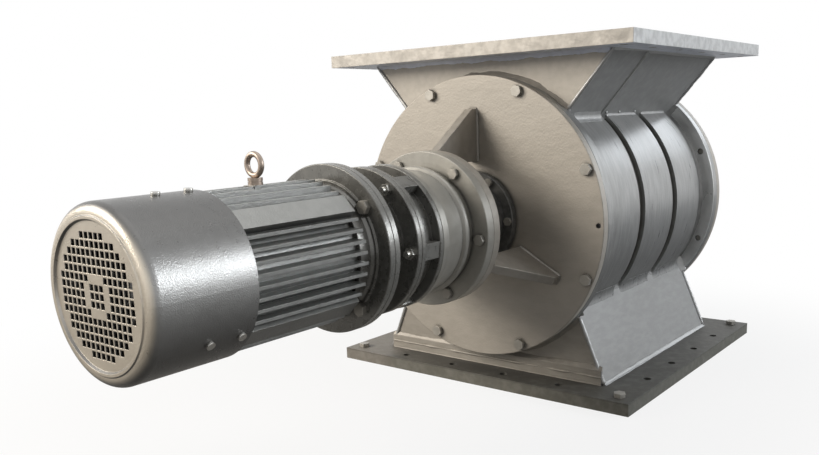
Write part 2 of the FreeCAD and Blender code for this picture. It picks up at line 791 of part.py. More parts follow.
def make_output_shaft():
    """Output shaft with its carrier disc, and the pins and rollers in that disc."""
    journal_end = "(reducer_seat + 3 + output_bearing_wide)"
    big_start = "(carrier_seat - output_big_wide - 3)"
    hollow = "(motor_shaft_radius + 3)"
    shaft = turned("output_shaft", [
        ("0", "coupling_seam + 1"), ("output_tip", "coupling_seam + 1"),
        ("output_tip", "reducer_seat - pilot_tall - 2"),
        ("output_seal_radius", "reducer_seat - pilot_tall - 2"),
        ("output_seal_radius", "reducer_seat + 3"), ("output_journal", "reducer_seat + 3"),
        ("output_journal", journal_end), ("output_big_journal - 1.5", journal_end),
        ("output_big_journal - 1.5", big_start), ("output_big_journal", big_start),
        ("output_big_journal", "carrier_seat + 1"), ("carrier_radius", "carrier_seat + 1"),
        ("carrier_radius", "carrier_seat + carrier_thick"), (hollow, "carrier_seat + carrier_thick"),
        (hollow, "carrier_seat + 6"), ("0", "carrier_seat + 6")])
    sketch = sketch_on(shaft, level="coupling_start + coupling_long")
    draw_rectangle(sketch, "-key_wide / 2", "output_tip - key_tall / 2", "key_wide / 2", "output_tip + 1")
    pocket(shaft, sketch, "coupling_start + coupling_long - coupling_seam - 1")
    drill_around(shaft, "carrier_pin_radius", "carrier_pin_pitch", "carrier_pins",
                 "carrier_seat + carrier_thick", "carrier_thick - 5")
    place(shaft)

    pins = new_body("carrier_pins")
    pins.AllowCompound = True
    sketch = sketch_on(pins, level="carrier_seat + 6")
    draw_circle(sketch, "carrier_pin_radius", *polar("carrier_pin_pitch", "0"))
    pin = pad(pins, sketch, "input_seat - carrier_seat - 6 - 5")
    around(pins, [pin], "carrier_pins")
    place(pins)
    rollers = new_body("carrier_rollers")
    rollers.AllowCompound = True
    sketch = sketch_on(rollers, level="carrier_seat + carrier_thick + 0.5")
    draw_circle(sketch, "carrier_roller_radius", *polar("carrier_pin_pitch", "0"))
    draw_circle(sketch, "carrier_pin_radius + press_gap", *polar("carrier_pin_pitch", "0"))
    roller = pad(rollers, sketch, "input_seat - carrier_seat - carrier_thick - 6.5")
    around(rollers, [roller], "carrier_pins")
    place(rollers)


def make_pin_housing():
    """Ring with half-round pin seats, two rims and bridging blocks, and its ring pins."""
    seat = "ring_pin_radius + press_gap"
    rim_top = "pin_housing_long - stage_ring_thick"
    housing = turned("pin_gear_housing", [
        ("ring_pin_pitch", "0"), *rim("stage_ring", "0", "stage_ring_thick"),
        ("pin_housing_core", "stage_ring_thick"), ("pin_housing_core", rim_top),
        *rim("stage_ring", rim_top, "pin_housing_long"), ("ring_pin_pitch", "pin_housing_long")])
    sketch = sketch_on(housing, level="stage_ring_thick - 1")
    draw_rectangle(sketch, "pin_housing_core - 3", "-window_block / 2",
                   "window_block_radius", "window_block / 2")
    block = pad(housing, sketch, f"{rim_top} - stage_ring_thick + 2")
    around(housing, [block], "stage_studs")
    drill_around(housing, seat, "ring_pin_pitch", "ring_pins", "pin_housing_long", "pin_housing_long",
                 "-reducer_turn")
    drill_around(housing, "m10_shank + thread_gap", "stage_stud_pitch", "stage_studs",
                 "pin_housing_long", "pin_housing_long")
    place(housing, "pin_housing_seat", turn=number("reducer_turn"))

    pins = new_body("ring_pins")
    pins.AllowCompound = True
    sketch = sketch_on(pins, level="face_gap")
    draw_circle(sketch, "ring_pin_radius", *polar("ring_pin_pitch", "0"))
    pin = pad(pins, sketch, "pin_housing_long - 2 * face_gap")
    around(pins, [pin], "ring_pins")
    place(pins, "pin_housing_seat")


def lobe_point(angle, pitch, roller, throw, pins):
    """Point of the disc's lobed edge: the curve that keeps touching every ring pin."""
    lean = math.atan2(math.sin((1 - pins) * angle), pitch / (throw * pins) - math.cos((1 - pins) * angle))
    across = pitch * math.cos(angle) - roller * math.cos(angle + lean) - throw * math.cos(pins * angle)
    along = -pitch * math.sin(angle) + roller * math.sin(angle + lean) + throw * math.sin(pins * angle)
    return FreeCAD.Vector(across, along, 0)


def make_cycloid_discs():
    """Two lobed discs, half a turn apart on their eccentrics."""
    pins = round(number("ring_pins"))
    roller = number("ring_pin_radius + mesh_gap")
    pitch = number("ring_pin_pitch")
    throw = number("eccentricity")
    steps = 12 * (pins - 1)
    points = [lobe_point(2 * math.pi * step / steps, pitch, roller, throw, pins) for step in range(steps)]
    curve = Part.BSplineCurve()
    curve.interpolate(points, PeriodicFlag=True)
    up = FreeCAD.Vector(0, 0, 1)
    thick = number("disc_thick")
    disc = Part.Face(Part.Wire(curve.toShape())).extrude(up * thick)
    cuts = [Part.makeCylinder(number("arm_bearing_outer + running_gap"), thick)]
    hole_radius = number("carrier_roller_radius + eccentricity + mesh_gap")
    holes = round(number("carrier_pins"))
    for index in range(holes):
        angle = 2 * math.pi * index / holes
        centre = FreeCAD.Vector(math.cos(angle), math.sin(angle), 0) * number("carrier_pin_pitch")
        cuts.append(Part.makeCylinder(hole_radius, thick, centre))
    disc = disc.cut(cuts)
    for name, turn, start in (("cycloid_disc_front", 180, "disc_start"),
                              ("cycloid_disc_rear", 0, "disc_start + disc_thick + disc_space")):
        item = doc.addObject("Part::Feature", name)
        item.Label = name
        item.Shape = disc
        place(item, f"pin_housing_seat + {start}", turn=turn)
        sign = "" if turn == 0 else "-"
        item.setExpression("Placement.Base.x", bound(f"{sign}eccentricity"))


def make_eccentric():
    """Eccentric sleeve with its two throws and the bearing ring on each throw."""
    sleeve = new_body("eccentric_sleeve")
    stretch = "(disc_thick + disc_space / 2 + 1)"
    for side, sign in ((0, "-"), (1, "")):
        sketch = sketch_on(sleeve, level=f"{side} * {stretch}")
        draw_circle(sketch, "sleeve_radius", f"{sign}eccentricity")
        pad(sleeve, sketch, stretch)
    sketch = sketch_on(sleeve, level=f"2 * {stretch}")
    draw_circle(sketch, "motor_shaft_radius + press_gap")
    pocket(sleeve, sketch, f"2 * {stretch}")
    place(sleeve, "pin_housing_seat + disc_start - 1")
    rings = new_body("eccentric_bearings")
    rings.AllowCompound = True
    for start, sign in (("0", "-"), ("disc_thick + disc_space", "")):
        sketch = sketch_on(rings, level=start)
        draw_circle(sketch, "arm_bearing_outer", f"{sign}eccentricity")
        draw_circle(sketch, "sleeve_radius + press_gap", f"{sign}eccentricity")
        pad(rings, sketch, "disc_thick")
    place(rings, "pin_housing_seat + disc_start")


def make_input_flange():
    """Drum between the cycloidal stage and the motor, with the studs and nuts of the stage."""
    ring_top = "stage_ring_thick + 1"
    plate = "input_flange_long - input_plate"
    seal_bore = "(motor_shaft_radius + 9)"
    drum = turned("reducer_input_flange", [
        ("carrier_room", "0"), *rim("stage_ring", "0", ring_top), ("input_drum", ring_top),
        ("input_drum", plate), *rim("motor_flange_radius", plate, "input_flange_long"),
        ("motor_pilot", "input_flange_long"), ("motor_pilot", "input_flange_long - motor_pilot_deep"),
        ("input_drum - 16", "input_flange_long - motor_pilot_deep"),
        ("input_drum - 16", "input_web_station + input_web"),
        (seal_bore, "input_web_station + input_web"),
        (seal_bore, "input_web_station"), ("carrier_room", "input_web_station")])
    drill_around(drum, "m10_shank + thread_gap", "stage_stud_pitch", "stage_studs", ring_top, ring_top)
    drill_around(drum, "m12_shank + thread_gap", "motor_bolt_pitch", "motor_bolts", "input_flange_long",
                 "input_plate", "motor_bolt_turn - reducer_turn")
    place(drum, "input_seat", turn=number("reducer_turn"))
    studs = fasteners_around("reducer_stage_studs", "stage_stud_pitch", "stage_studs", "m10",
                             f"{ring_top} + pin_housing_long + stud_root")
    sketch = sketch_on(studs, level="m10_tall")
    draw_circle(sketch, "m10_shank", *polar("stage_stud_pitch", "0"))
    tip = pad(studs, sketch, "stud_tip")
    around(studs, [tip], "stage_studs")
    place(studs, f"input_seat + {ring_top}", turn=number("reducer_turn"))
    seal = turned("input_shaft_seal", [
        ("motor_shaft_radius + running_gap", "0"), (f"{seal_bore} - seat_gap", "0"),
        (f"{seal_bore} - seat_gap", "8"), ("motor_shaft_radius + 4", "8"),
        ("motor_shaft_radius + 4", "3"), ("motor_shaft_radius + running_gap", "3")])
    place(seal, "input_seat + input_web_station + 2")


def make_motor_shields():
    """Flanged drive-end shield, rear shield, their bearings and the flange bolts."""
    bell = "shield_long"
    shield = turned("motor_flange_shield", [
        ("motor_bearing_outer - 9", "-motor_pilot_deep + face_gap"),
        ("motor_pilot - seat_gap", "-motor_pilot_deep + face_gap"),
        ("motor_pilot - seat_gap", "0"), *rim("motor_flange_radius", "0", "motor_flange_thick"),
        ("shield_bead", "motor_flange_thick"), ("shield_bead - 1", "motor_flange_thick + 3"),
        ("shield_bead - 4", "motor_flange_thick + 3"), ("shield_bead - 5", "motor_flange_thick + 1"),
        ("shield_bell", "motor_flange_thick + 6"), ("shield_bell - 3", bell),
        ("frame_bore - seat_gap", bell), ("frame_bore - seat_gap", f"{bell} + 6"),
        ("frame_bore - 6", f"{bell} + 6"),
        ("frame_bore - 6", "motor_flange_thick + 8"), ("motor_bearing_outer + 8", "motor_flange_thick + 8"),
        ("motor_bearing_outer + 8", f"{bell} - 6"), ("motor_bearing_outer", f"{bell} - 6"),
        ("motor_bearing_outer", f"{bell} - 6 - motor_bearing_wide"),
        ("motor_bearing_outer - 9", f"{bell} - 6 - motor_bearing_wide")])
    sketch = sketch_on(shield, level=bell)
    draw_circle(sketch, "m12_head + 4", *polar("motor_bolt_pitch", "motor_bolt_turn"))
    scallop = pocket(shield, sketch, "shield_long - motor_flange_thick")
    around(shield, [scallop], "motor_bolts")
    drill_around(shield, "m12_shank + pass_gap", "motor_bolt_pitch", "motor_bolts", "motor_flange_thick",
                 "motor_flange_thick", "motor_bolt_turn")
    place(shield, "motor_seat")
    bolts = fasteners_around("motor_flange_bolts", "motor_bolt_pitch", "motor_bolts", "m12",
                             "motor_flange_thick + input_plate + 4", "motor_bolt_turn")
    place(bolts, "motor_seat + motor_flange_thick")
    ring = bearing("motor_front_bearing", "motor_journal + running_gap", "motor_bearing_outer - press_gap",
                   "motor_bearing_wide")
    place(ring, "frame_seat - 6 - motor_bearing_wide")

    rear = turned("motor_rear_shield", [
        ("motor_journal + 2", "rear_shield_long"), ("motor_journal + 2", "4 + motor_bearing_wide"),
        ("motor_bearing_outer", "4 + motor_bearing_wide"), ("motor_bearing_outer", "4"),
        ("motor_bearing_outer + 7", "4"), ("motor_bearing_outer + 7", "10"), ("frame_bore - 6", "10"),
        ("frame_bore - 6", "-6"), ("frame_bore - seat_gap", "-6"), ("frame_bore - seat_gap", "0"),
        ("frame_tube + 6", "0"), ("frame_tube + 6", "8"), ("frame_tube - 10", "18"),
        ("motor_bearing_outer + 10", "18"), ("motor_bearing_outer + 6", "rear_shield_long")])
    sketch = sketch_on(rear, "XZ_Plane", turn=-number("cowl_screw_turn"))
    draw_outline(sketch, [
        ("frame_tube - 6", "0"), ("cowl_radius - cowl_wall - face_gap", "0"),
        ("cowl_radius - cowl_wall - face_gap", "cowl_lug_long"), ("fan_radius + 8", "cowl_lug_long"),
        ("fan_radius + 8", "12"), ("frame_tube - 6", "12")])
    lug = pad(rear, sketch, "cowl_lug_wide", centred=True)
    around(rear, [lug], "cowl_screw_rows")
    for level in ("cowl_screw_near", "cowl_screw_far"):
        drill_radially(rear, "m5_shank + thread_gap", f"{level} - cowl_overlap", "cowl_radius", "18",
                       "cowl_screw_rows", number("cowl_screw_turn"))
    place(rear, "frame_end")
    ring = bearing("motor_rear_bearing", "motor_journal + running_gap", "motor_bearing_outer - press_gap",
                   "motor_bearing_wide")
    place(ring, "frame_end + 4")


def make_motor_frame():
    """Frame tube with a bank of parallel fins on each side and a flat pad at each corner."""
    frame = new_body("motor_frame")
    sketch = sketch_on(frame)
    draw_circle(sketch, "frame_tube")
    pad(frame, sketch, "frame_long")
    sketch = sketch_on(frame)
    fins = round(number("fins_per_side"))
    for fin in range(fins):
        middle = f"(fin_pitch * {fin - (fins - 1) / 2})"
        root = f"sqrt((frame_tube - 3) ^ 2 - {middle} ^ 2)"
        tip = f"sqrt(fin_radius ^ 2 - (abs{middle} + fin_thick / 2) ^ 2)"
        draw_outline(sketch, [
            (root, f"{middle} - fin_thick / 2 - 0.6"), (tip, f"{middle} - fin_thick / 2"),
            (tip, f"{middle} + fin_thick / 2"), (root, f"{middle} + fin_thick / 2 + 0.6")])
    bank = pad(frame, sketch, "frame_long - 4")
    around(frame, [bank], "4")
    sketch = sketch_on(frame, "XZ_Plane", turn=45)
    draw_rectangle(sketch, "frame_tube - 4", "0", "pad_radius", "frame_long - 4")
    flat = pad(frame, sketch, "pad_wide", centred=True)
    around(frame, [flat], "4")
    sketch = sketch_on(frame, "XZ_Plane")
    draw_rectangle(sketch, "-box_seat", "box_station + 8", "-frame_tube + 6", "box_station + box_long - 8")
    pad(frame, sketch, "box_wide - 24", centred=True)
    sketch = sketch_on(frame, "XZ_Plane", level="-frame_tube + 4")
    boss = "(eye_collar + 1)"
    draw_rectangle(sketch, f"-{boss}", f"eye_station - {boss}", boss, f"eye_station + {boss}")
    pad(frame, sketch, "eye_seat - frame_tube + 4", backwards=True)
    sketch = sketch_on(frame, "XZ_Plane", level="-eye_seat")
    draw_circle(sketch, "eye_wire + seat_gap", "0", "eye_station")
    pocket(frame, sketch, "eye_shank + 1", backwards=True)
    sketch = sketch_on(frame, level="frame_long")
    draw_circle(sketch, "frame_bore")
    pocket(frame, sketch, "frame_long")
    place(frame, "frame_seat")


def make_motor_inside():
    """Stator, rotor core and motor shaft."""
    core = turned("stator_core", [
        ("motor_core_radius + air_gap", "0"), ("frame_bore - seat_gap", "0"),
        ("frame_bore - seat_gap", "core_long"), ("motor_core_radius + air_gap", "core_long")])
    place(core, "frame_seat + core_station")
    winding = new_body("stator_windings")
    winding.AllowCompound = True
    for start in ("-winding_long - face_gap", "core_long + face_gap"):
        sketch = sketch_on(winding, level=start)
        draw_circle(sketch, "frame_bore - 8")
        draw_circle(sketch, "motor_core_radius + 5")
        pad(winding, sketch, "winding_long")
    place(winding, "frame_seat + core_station")
    cage = turned("motor_rotor_core", [
        ("motor_journal + 5 + press_gap", "0"), ("motor_core_radius", "0"),
        ("motor_core_radius", "core_long"), ("motor_journal + 5 + press_gap", "core_long")])
    place(cage, "frame_seat + core_station")
    front = "(frame_seat - 6 - motor_bearing_wide)"
    rear = "(frame_end + 4)"
    end = "(cowl_seat + fan_station + fan_long - 4)"
    shaft = turned("motor_shaft", [
        ("0", "pin_housing_seat + 4"), ("motor_shaft_radius", "pin_housing_seat + 4"),
        ("motor_shaft_radius", front), ("motor_journal", front),
        ("motor_journal", f"{front} + motor_bearing_wide"),
        ("motor_journal + 5", f"{front} + motor_bearing_wide"), ("motor_journal + 5", rear),
        ("motor_journal", rear), ("motor_journal", f"{rear} + motor_bearing_wide + 8"),
        ("fan_seat", f"{rear} + motor_bearing_wide + 8"), ("fan_seat", end), ("0", end)])
    place(shaft)


def make_fan():
    """Radial fan with a back disc, hub and straight blades."""
    fan = turned("cooling_fan", [
        ("fan_seat + press_gap", "0"), ("fan_radius - 20", "0"), ("fan_radius - 20", "3"),
        ("fan_hub", "6"), ("fan_hub - 2", "fan_long - 8"), ("fan_seat + press_gap", "fan_long - 8")])
    sketch = sketch_on(fan, "XZ_Plane")
    draw_outline(sketch, [
        ("fan_hub - 4", "1"), ("fan_radius - 20", "1"), ("fan_radius", "5"),
        ("fan_radius", "fan_long"), ("fan_hub + 14", "fan_long"), ("fan_hub - 4", "fan_long - 12")])
    blade = pad(fan, sketch, "3", centred=True)
    around(fan, [blade], "fan_blades")
    place(fan, "cowl_seat + fan_station")


def edge_names(shape, radius, level):
    """Names of the circular edges at a radius and a height."""
    names = []
    for index, edge in enumerate(shape.Edges, 1):
        if isinstance(edge.Curve, Part.Circle):
            same_radius = abs(edge.Curve.Radius - radius) < 0.01
            if same_radius and abs(edge.Curve.Center.z - level) < 0.01:
                names.append(f"Edge{index}")
    return names


def make_cowl():
    """Pressed fan cowl with a rolled edge and a sunk grille of square holes."""
    shell = new_body("fan_cowl_shell")
    inner = "cowl_radius - cowl_wall"
    face = "(cowl_long - grille_bead)"
    sunk = "(cowl_long - grille_sink)"
    turn_about_axis(shell, [
        ("cowl_radius", "0"), ("cowl_radius", face), ("grille_radius + 7", face),
        ("grille_radius + 5.5", "cowl_long"), ("grille_radius + 2", "cowl_long"),
        ("grille_radius", sunk), ("0", sunk), ("0", f"{sunk} - cowl_wall"),
        ("grille_radius - 1.2", f"{sunk} - cowl_wall"), ("grille_radius + 0.8", f"{face} - cowl_wall"),
        (inner, f"{face} - cowl_wall"), (inner, "0")])
    doc.recompute()
    for radius, level, round_size in (("cowl_radius", face, "cowl_round"),
                                      (inner, f"{face} - cowl_wall", "cowl_round - cowl_wall")):
        base = shell.Tip
        fillet = shell.newObject("PartDesign::Fillet", f"{shell.Name}_rolled_edge")
        fillet.Base = (base, edge_names(base.Shape, number(radius), number(level)))
        fillet.setExpression("Radius", bound(round_size))
        doc.recompute()
    for level in ("cowl_screw_near", "cowl_screw_far"):
        drill_radially(shell, "m5_shank + pass_gap", level, "cowl_radius + 2", "8", "cowl_screw_rows",
                       number("cowl_screw_turn"))
    holes = []
    for column in range(-7, 8):
        for row in range(-7, 8):
            inside = column ** 2 + row ** 2 <= 54
            solid = max(abs(column), abs(row)) == 2 and abs(column) != abs(row)
            if inside and not solid:
                hole = doc.addObject("Part::Box", "grille_hole")
                hole.setExpression("Length", bound("grille_hole"))
                hole.setExpression("Width", bound("grille_hole"))
                hole.setExpression("Height", bound("4 * cowl_wall"))
                hole.setExpression("Placement.Base.x", bound(f"grille_pitch * {column} - grille_hole / 2"))
                hole.setExpression("Placement.Base.y", bound(f"grille_pitch * {row} - grille_hole / 2"))
                hole.setExpression("Placement.Base.z", bound("cowl_long - grille_sink - 2.5 * cowl_wall"))
                holes.append(hole)
    cutters = doc.addObject("Part::Compound", "grille_holes")
    cutters.Links = holes
    cowl = doc.addObject("Part::Cut", "fan_cowl")
    cowl.Label = "fan_cowl"
    cowl.Base = shell
    cowl.Tool = cutters
    place(cowl, "cowl_seat")


def make_cowl_screws():
    """Small screws in pairs along the cowl at three places round it."""
    screws = new_body("cowl_screws")
    screws.AllowCompound = True
    features = []
    for level in ("cowl_screw_near", "cowl_screw_far"):
        for radius, low, high in (("m5_head", "cowl_radius", "cowl_radius + m5_tall"),
                                  ("m5_shank", "cowl_radius - 12", "cowl_radius + 1")):
            sketch = sketch_on(screws, "YZ_Plane", level=low)
            draw_circle(sketch, radius, "0", level)
            features.append(pad(screws, sketch, f"{high} - ({low})"))
    around(screws, features, "cowl_screw_rows")
    place(screws, "cowl_seat", turn=number("cowl_screw_turn"))


def make_lifting_eye():
    """Eye bolt screwed into the boss on top of the frame."""
    shapes = []
    rods = (("eye_foot", "eye_collar", "eye_seat", "4"),
            ("eye_neck", "eye_collar - 1.5", "eye_seat + 3", "3"),
            ("eye_shoulder", "eye_collar", "eye_seat + 5", "4.5"),
            ("eye_stem", "eye_wire", "eye_seat - eye_shank", "eye_shank + 2"))
    for name, radius, low, tall in rods:
        rod = doc.addObject("Part::Cylinder", name)
        rod.setExpression("Radius", bound(radius))
        rod.setExpression("Height", bound(tall))
        rod.Placement = FreeCAD.Placement(FreeCAD.Vector(), FreeCAD.Rotation(FreeCAD.Vector(1, 0, 0), -90))
        rod.setExpression("Placement.Base.y", bound(low))
        shapes.append(rod)
    ring = doc.addObject("Part::Torus", "eye_ring_torus")
    ring.setExpression("Radius1", bound("eye_ring"))
    ring.setExpression("Radius2", bound("eye_wire"))
    ring.setExpression("Placement.Base.y", bound("eye_seat + 8.5 + eye_ring + eye_wire"))
    shapes.append(ring)
    eye = doc.addObject("Part::MultiFuse", "lifting_eye")
    eye.Label = "lifting_eye"
    eye.Shapes = shapes
    place(eye, "frame_seat + eye_station")


def make_terminal_box():
    """Terminal box on the far side of the motor, with its lid, screws and cable gland."""
    half = "box_wide / 2"
    box = new_body("terminal_box")
    sketch = sketch_on(box, "YZ_Plane", level="box_seat")
    draw_rectangle(sketch, f"-{half}", "0", half, "box_long")
    pad(box, sketch, "box_tall")
    sketch = sketch_on(box, "YZ_Plane", level="box_seat + box_tall")
    draw_rectangle(sketch, f"-{half} + box_wall", "box_wall", f"{half} - box_wall", "box_long - box_wall")
    pocket(box, sketch, "box_tall - box_wall")
    sketch = sketch_on(box, "XZ_Plane", level=f"-{half}")
    draw_circle(sketch, "gland_neck + seat_gap", "box_seat + box_tall / 2", "box_long / 2")
    pocket(box, sketch, "box_wall + 2", backwards=True)
    place(box, "frame_seat + box_station", turn=180)
    lid = new_body("terminal_box_lid")
    sketch = sketch_on(lid, "YZ_Plane", level="box_seat + box_tall")
    draw_rectangle(sketch, f"-{half} - 2", "-2", f"{half} + 2", "box_long + 2")
    pad(lid, sketch, "lid_tall")
    place(lid, "frame_seat + box_station", turn=180)
    screws = new_body("terminal_box_screws")
    screws.AllowCompound = True
    sketch = sketch_on(screws, "YZ_Plane", level="box_seat + box_tall + lid_tall")
    for across in (f"-{half} + 9", f"{half} - 9"):
        for along in ("9", "box_long - 9"):
            draw_circle(sketch, "m5_head - 1", across, along)
    pad(screws, sketch, "m5_tall - 1")
    place(screws, "frame_seat + box_station", turn=180)
    gland = turned("cable_gland", [
        ("gland_bore", "0"), ("gland_neck", "0"), ("gland_neck", "8"),
        ("gland_nut", "8"), ("gland_nut", "16"), ("gland_nut - 2.5", "18"),
        ("gland_nut - 2.5", "30"), ("gland_bore + 3", "gland_long"),
        ("gland_bore", "gland_long")])
    rotation = FreeCAD.Rotation(FreeCAD.Vector(0, 1, 0), 180)
    gland.Placement = FreeCAD.Placement(FreeCAD.Vector(), rotation)
    gland.setExpression("Placement.Base.x", bound("-box_seat - box_tall / 2"))
    gland.setExpression("Placement.Base.y", bound("-(frame_seat + box_station + box_long / 2)"))
    gland.setExpression("Placement.Base.z", bound("axis_height - box_wide / 2 + 8"))
    parts.append(gland)


def check_document():
    """Stop if any object failed or any sub-part has no valid solid."""
    for item in doc.Objects:
        if {"Invalid", "Error"} & set(item.State):
            raise RuntimeError(f"{item.Label} failed: {item.State}")
    for item in parts:
        if item.Shape.isNull() or not item.Shape.isValid() or not item.Shape.Solids:
            raise RuntimeError(f"{item.Label} has no valid solid")


def write_parts():
    """Write each sub-part to a file of its own."""
    os.makedirs("parts", exist_ok=True)
    for item in parts:
        item.Shape.exportStep(f"parts/{item.Label}.step")


fill_sheet()
make_barrel()
for port, level in (("inlet", "valve_tall - flange_thick"), ("outlet", "0")):
    make_chute(port)
    make_flange(port, level)
make_corner_bolts()
for side, flip in (("front", False), ("rear", True)):
    make_cover(side, flip)
    make_bearing_end(side, flip)
make_valve_fasteners()
make_rotor()
make_bracket()
make_coupling()
make_output_housing()
make_output_shaft()
make_pin_housing()
make_cycloid_discs()
make_eccentric()
make_input_flange()
make_motor_shields()
make_motor_frame()
make_motor_inside()
make_fan()
make_cowl()
make_cowl_screws()
make_lifting_eye()
make_terminal_box()
doc.recompute()
check_document()
write_parts()
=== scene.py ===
"""Looks of a rotary airlock valve with its gearmotor, in metres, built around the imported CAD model.

The file is laid out as an add-on: sizes and colours are properties, each group of pieces and the
stage has its operator, and one panel lists them. main() runs the operators in order.
"""

import math
import random

import bmesh
import bpy
from bpy.props import FloatProperty, FloatVectorProperty, PointerProperty
from mathutils import Matrix, Vector


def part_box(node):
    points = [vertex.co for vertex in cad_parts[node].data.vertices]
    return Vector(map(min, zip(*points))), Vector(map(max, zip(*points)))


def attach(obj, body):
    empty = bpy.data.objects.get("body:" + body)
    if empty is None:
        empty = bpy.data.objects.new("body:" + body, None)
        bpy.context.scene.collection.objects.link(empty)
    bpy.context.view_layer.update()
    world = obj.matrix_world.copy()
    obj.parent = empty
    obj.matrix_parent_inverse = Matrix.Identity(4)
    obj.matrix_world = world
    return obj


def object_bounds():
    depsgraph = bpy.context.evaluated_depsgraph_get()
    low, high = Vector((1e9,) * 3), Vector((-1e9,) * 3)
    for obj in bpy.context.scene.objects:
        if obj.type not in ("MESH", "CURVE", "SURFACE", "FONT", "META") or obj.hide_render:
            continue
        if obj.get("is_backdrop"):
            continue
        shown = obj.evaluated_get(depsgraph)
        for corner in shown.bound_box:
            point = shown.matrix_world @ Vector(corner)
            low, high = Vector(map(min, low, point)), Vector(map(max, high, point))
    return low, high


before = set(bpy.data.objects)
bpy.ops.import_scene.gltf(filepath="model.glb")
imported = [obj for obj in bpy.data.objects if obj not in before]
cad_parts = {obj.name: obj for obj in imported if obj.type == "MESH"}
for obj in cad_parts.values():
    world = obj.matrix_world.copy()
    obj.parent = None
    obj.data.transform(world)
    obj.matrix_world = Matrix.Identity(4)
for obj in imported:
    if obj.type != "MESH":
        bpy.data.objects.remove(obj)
CAD_LOW, CAD_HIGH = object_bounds()

bl_info = {
    "name": "Rotary Airlock Valve",
    "version": (1, 0, 0),
    "blender": (4, 5, 0),
    "location": "View3D > Sidebar > Valve",
    "description": "Paints and trims a rotary airlock valve and sets it in a plain studio",
    "category": "Object",
}

COVER_LOW, COVER_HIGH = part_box("front_cover")
AXIS_HEIGHT = (COVER_LOW.z + COVER_HIGH.z) / 2
END_RADIUS = (COVER_HIGH.x - COVER_LOW.x) / 2
CHUTE_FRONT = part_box("inlet_chute")[0].y
INLET_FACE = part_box("inlet_flange")[0].z
OUTLET_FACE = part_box("outlet_flange")[1].z


def colour(name, about, default):
    """Colour property, in linear values."""
    return FloatVectorProperty(name=name, description=about, subtype="COLOR", size=3, min=0, max=1,
                               default=default)


def length(name, about, default):
    """Length property, in metres."""
    return FloatProperty(name=name, description=about, default=default, min=0, unit="LENGTH",
                         precision=4)


def angle(name, about, degrees):
    """Angle property, given in degrees."""
    return FloatProperty(name=name, description=about, subtype="ANGLE",
                         default=math.radians(degrees))


def watts(name, about, default):
    """Property for a lamp's power, in watts."""
    return FloatProperty(name=name, description=about, default=default, min=0, unit="POWER")


def fraction(name, about, default):
    """Property for a share from 0 to 1."""
    return FloatProperty(name=name, description=about, default=default, min=0, max=1,
                         subtype="FACTOR")


class PaintProperties(bpy.types.PropertyGroup):
    """Colours of the paints, metals and plastics; some paint tones are painted light and shade."""
    silver: colour("Silver paint", "Paint of the barrel and the chutes", (0.35, 0.352, 0.35))
    # Light blue tone for the inlet flange's underside and its welds: a painted cool light.
    under: colour("Underside paint", "Cool coat under the inlet flange", (0.74, 0.79, 0.92))
    # Lighter, warmer than silver: partly own paint, partly painted front light.
    cover: colour("Cover paint", "Warmer paint of the covers and bracket", (0.46, 0.425, 0.375))
    shade: colour("Old paint", "Paint where it is thin or dirty", (0.20, 0.195, 0.18))
    base: colour("Flange paint", "Worn, dusty paint of the outlet flange", (0.17, 0.166, 0.142))
    reducer: colour("Reducer paint", "Paint of the reducer's castings", (0.15, 0.148, 0.138))
    motor: colour("Motor paint", "Paint of the motor's frame", (0.30, 0.302, 0.29))
    cowl: colour("Cowl paint", "Paint round the fan cowl", (0.41, 0.408, 0.40))
    # Lighter, warmer copy of the cowl paint for its end: a painted warm light.
    cowl_end: colour("Cowl end", "Warmer paint of the cowl's end and grille", (0.58, 0.525, 0.44))
    housing: colour("Housing paint", "Paint of the reducer's output housing", (0.38, 0.368, 0.335))
    # Dark tone of the bearing housings: a painted shade, where they sit in shadow.
    shaded_housing: colour("Thin paint", "Dark thin paint of the bearing housings", (0.12, 0.12, 0.116))
    bolt: colour("Bolt paint", "Paint on the bolt heads", (0.43, 0.41, 0.37))
    steel: colour("Steel", "Turned and ground steel", (0.52, 0.52, 0.53))
    zinc: colour("Zinc", "Plating of the stage studs and small screws", (0.50, 0.49, 0.46))
    eye: colour("Eye bolt", "Lightly browned steel of the lifting eye", (0.34, 0.28, 0.235))
    rust: colour("Brown film", "Film in spots on the lifting eye", (0.16, 0.10, 0.07))
    rubber: colour("Rubber", "Black rubber of the seals and the gland", (0.025, 0.025, 0.025))
    packing: colour("Packing", "Braided cord of the shaft packings", (0.42, 0.38, 0.28))
    copper: colour("Windings", "Varnished copper", (0.50, 0.20, 0.08))
    core: colour("Core", "Stacked core sheets", (0.12, 0.12, 0.125))
    fan: colour("Fan", "Moulded plastic of the fan", (0.03, 0.03, 0.032))


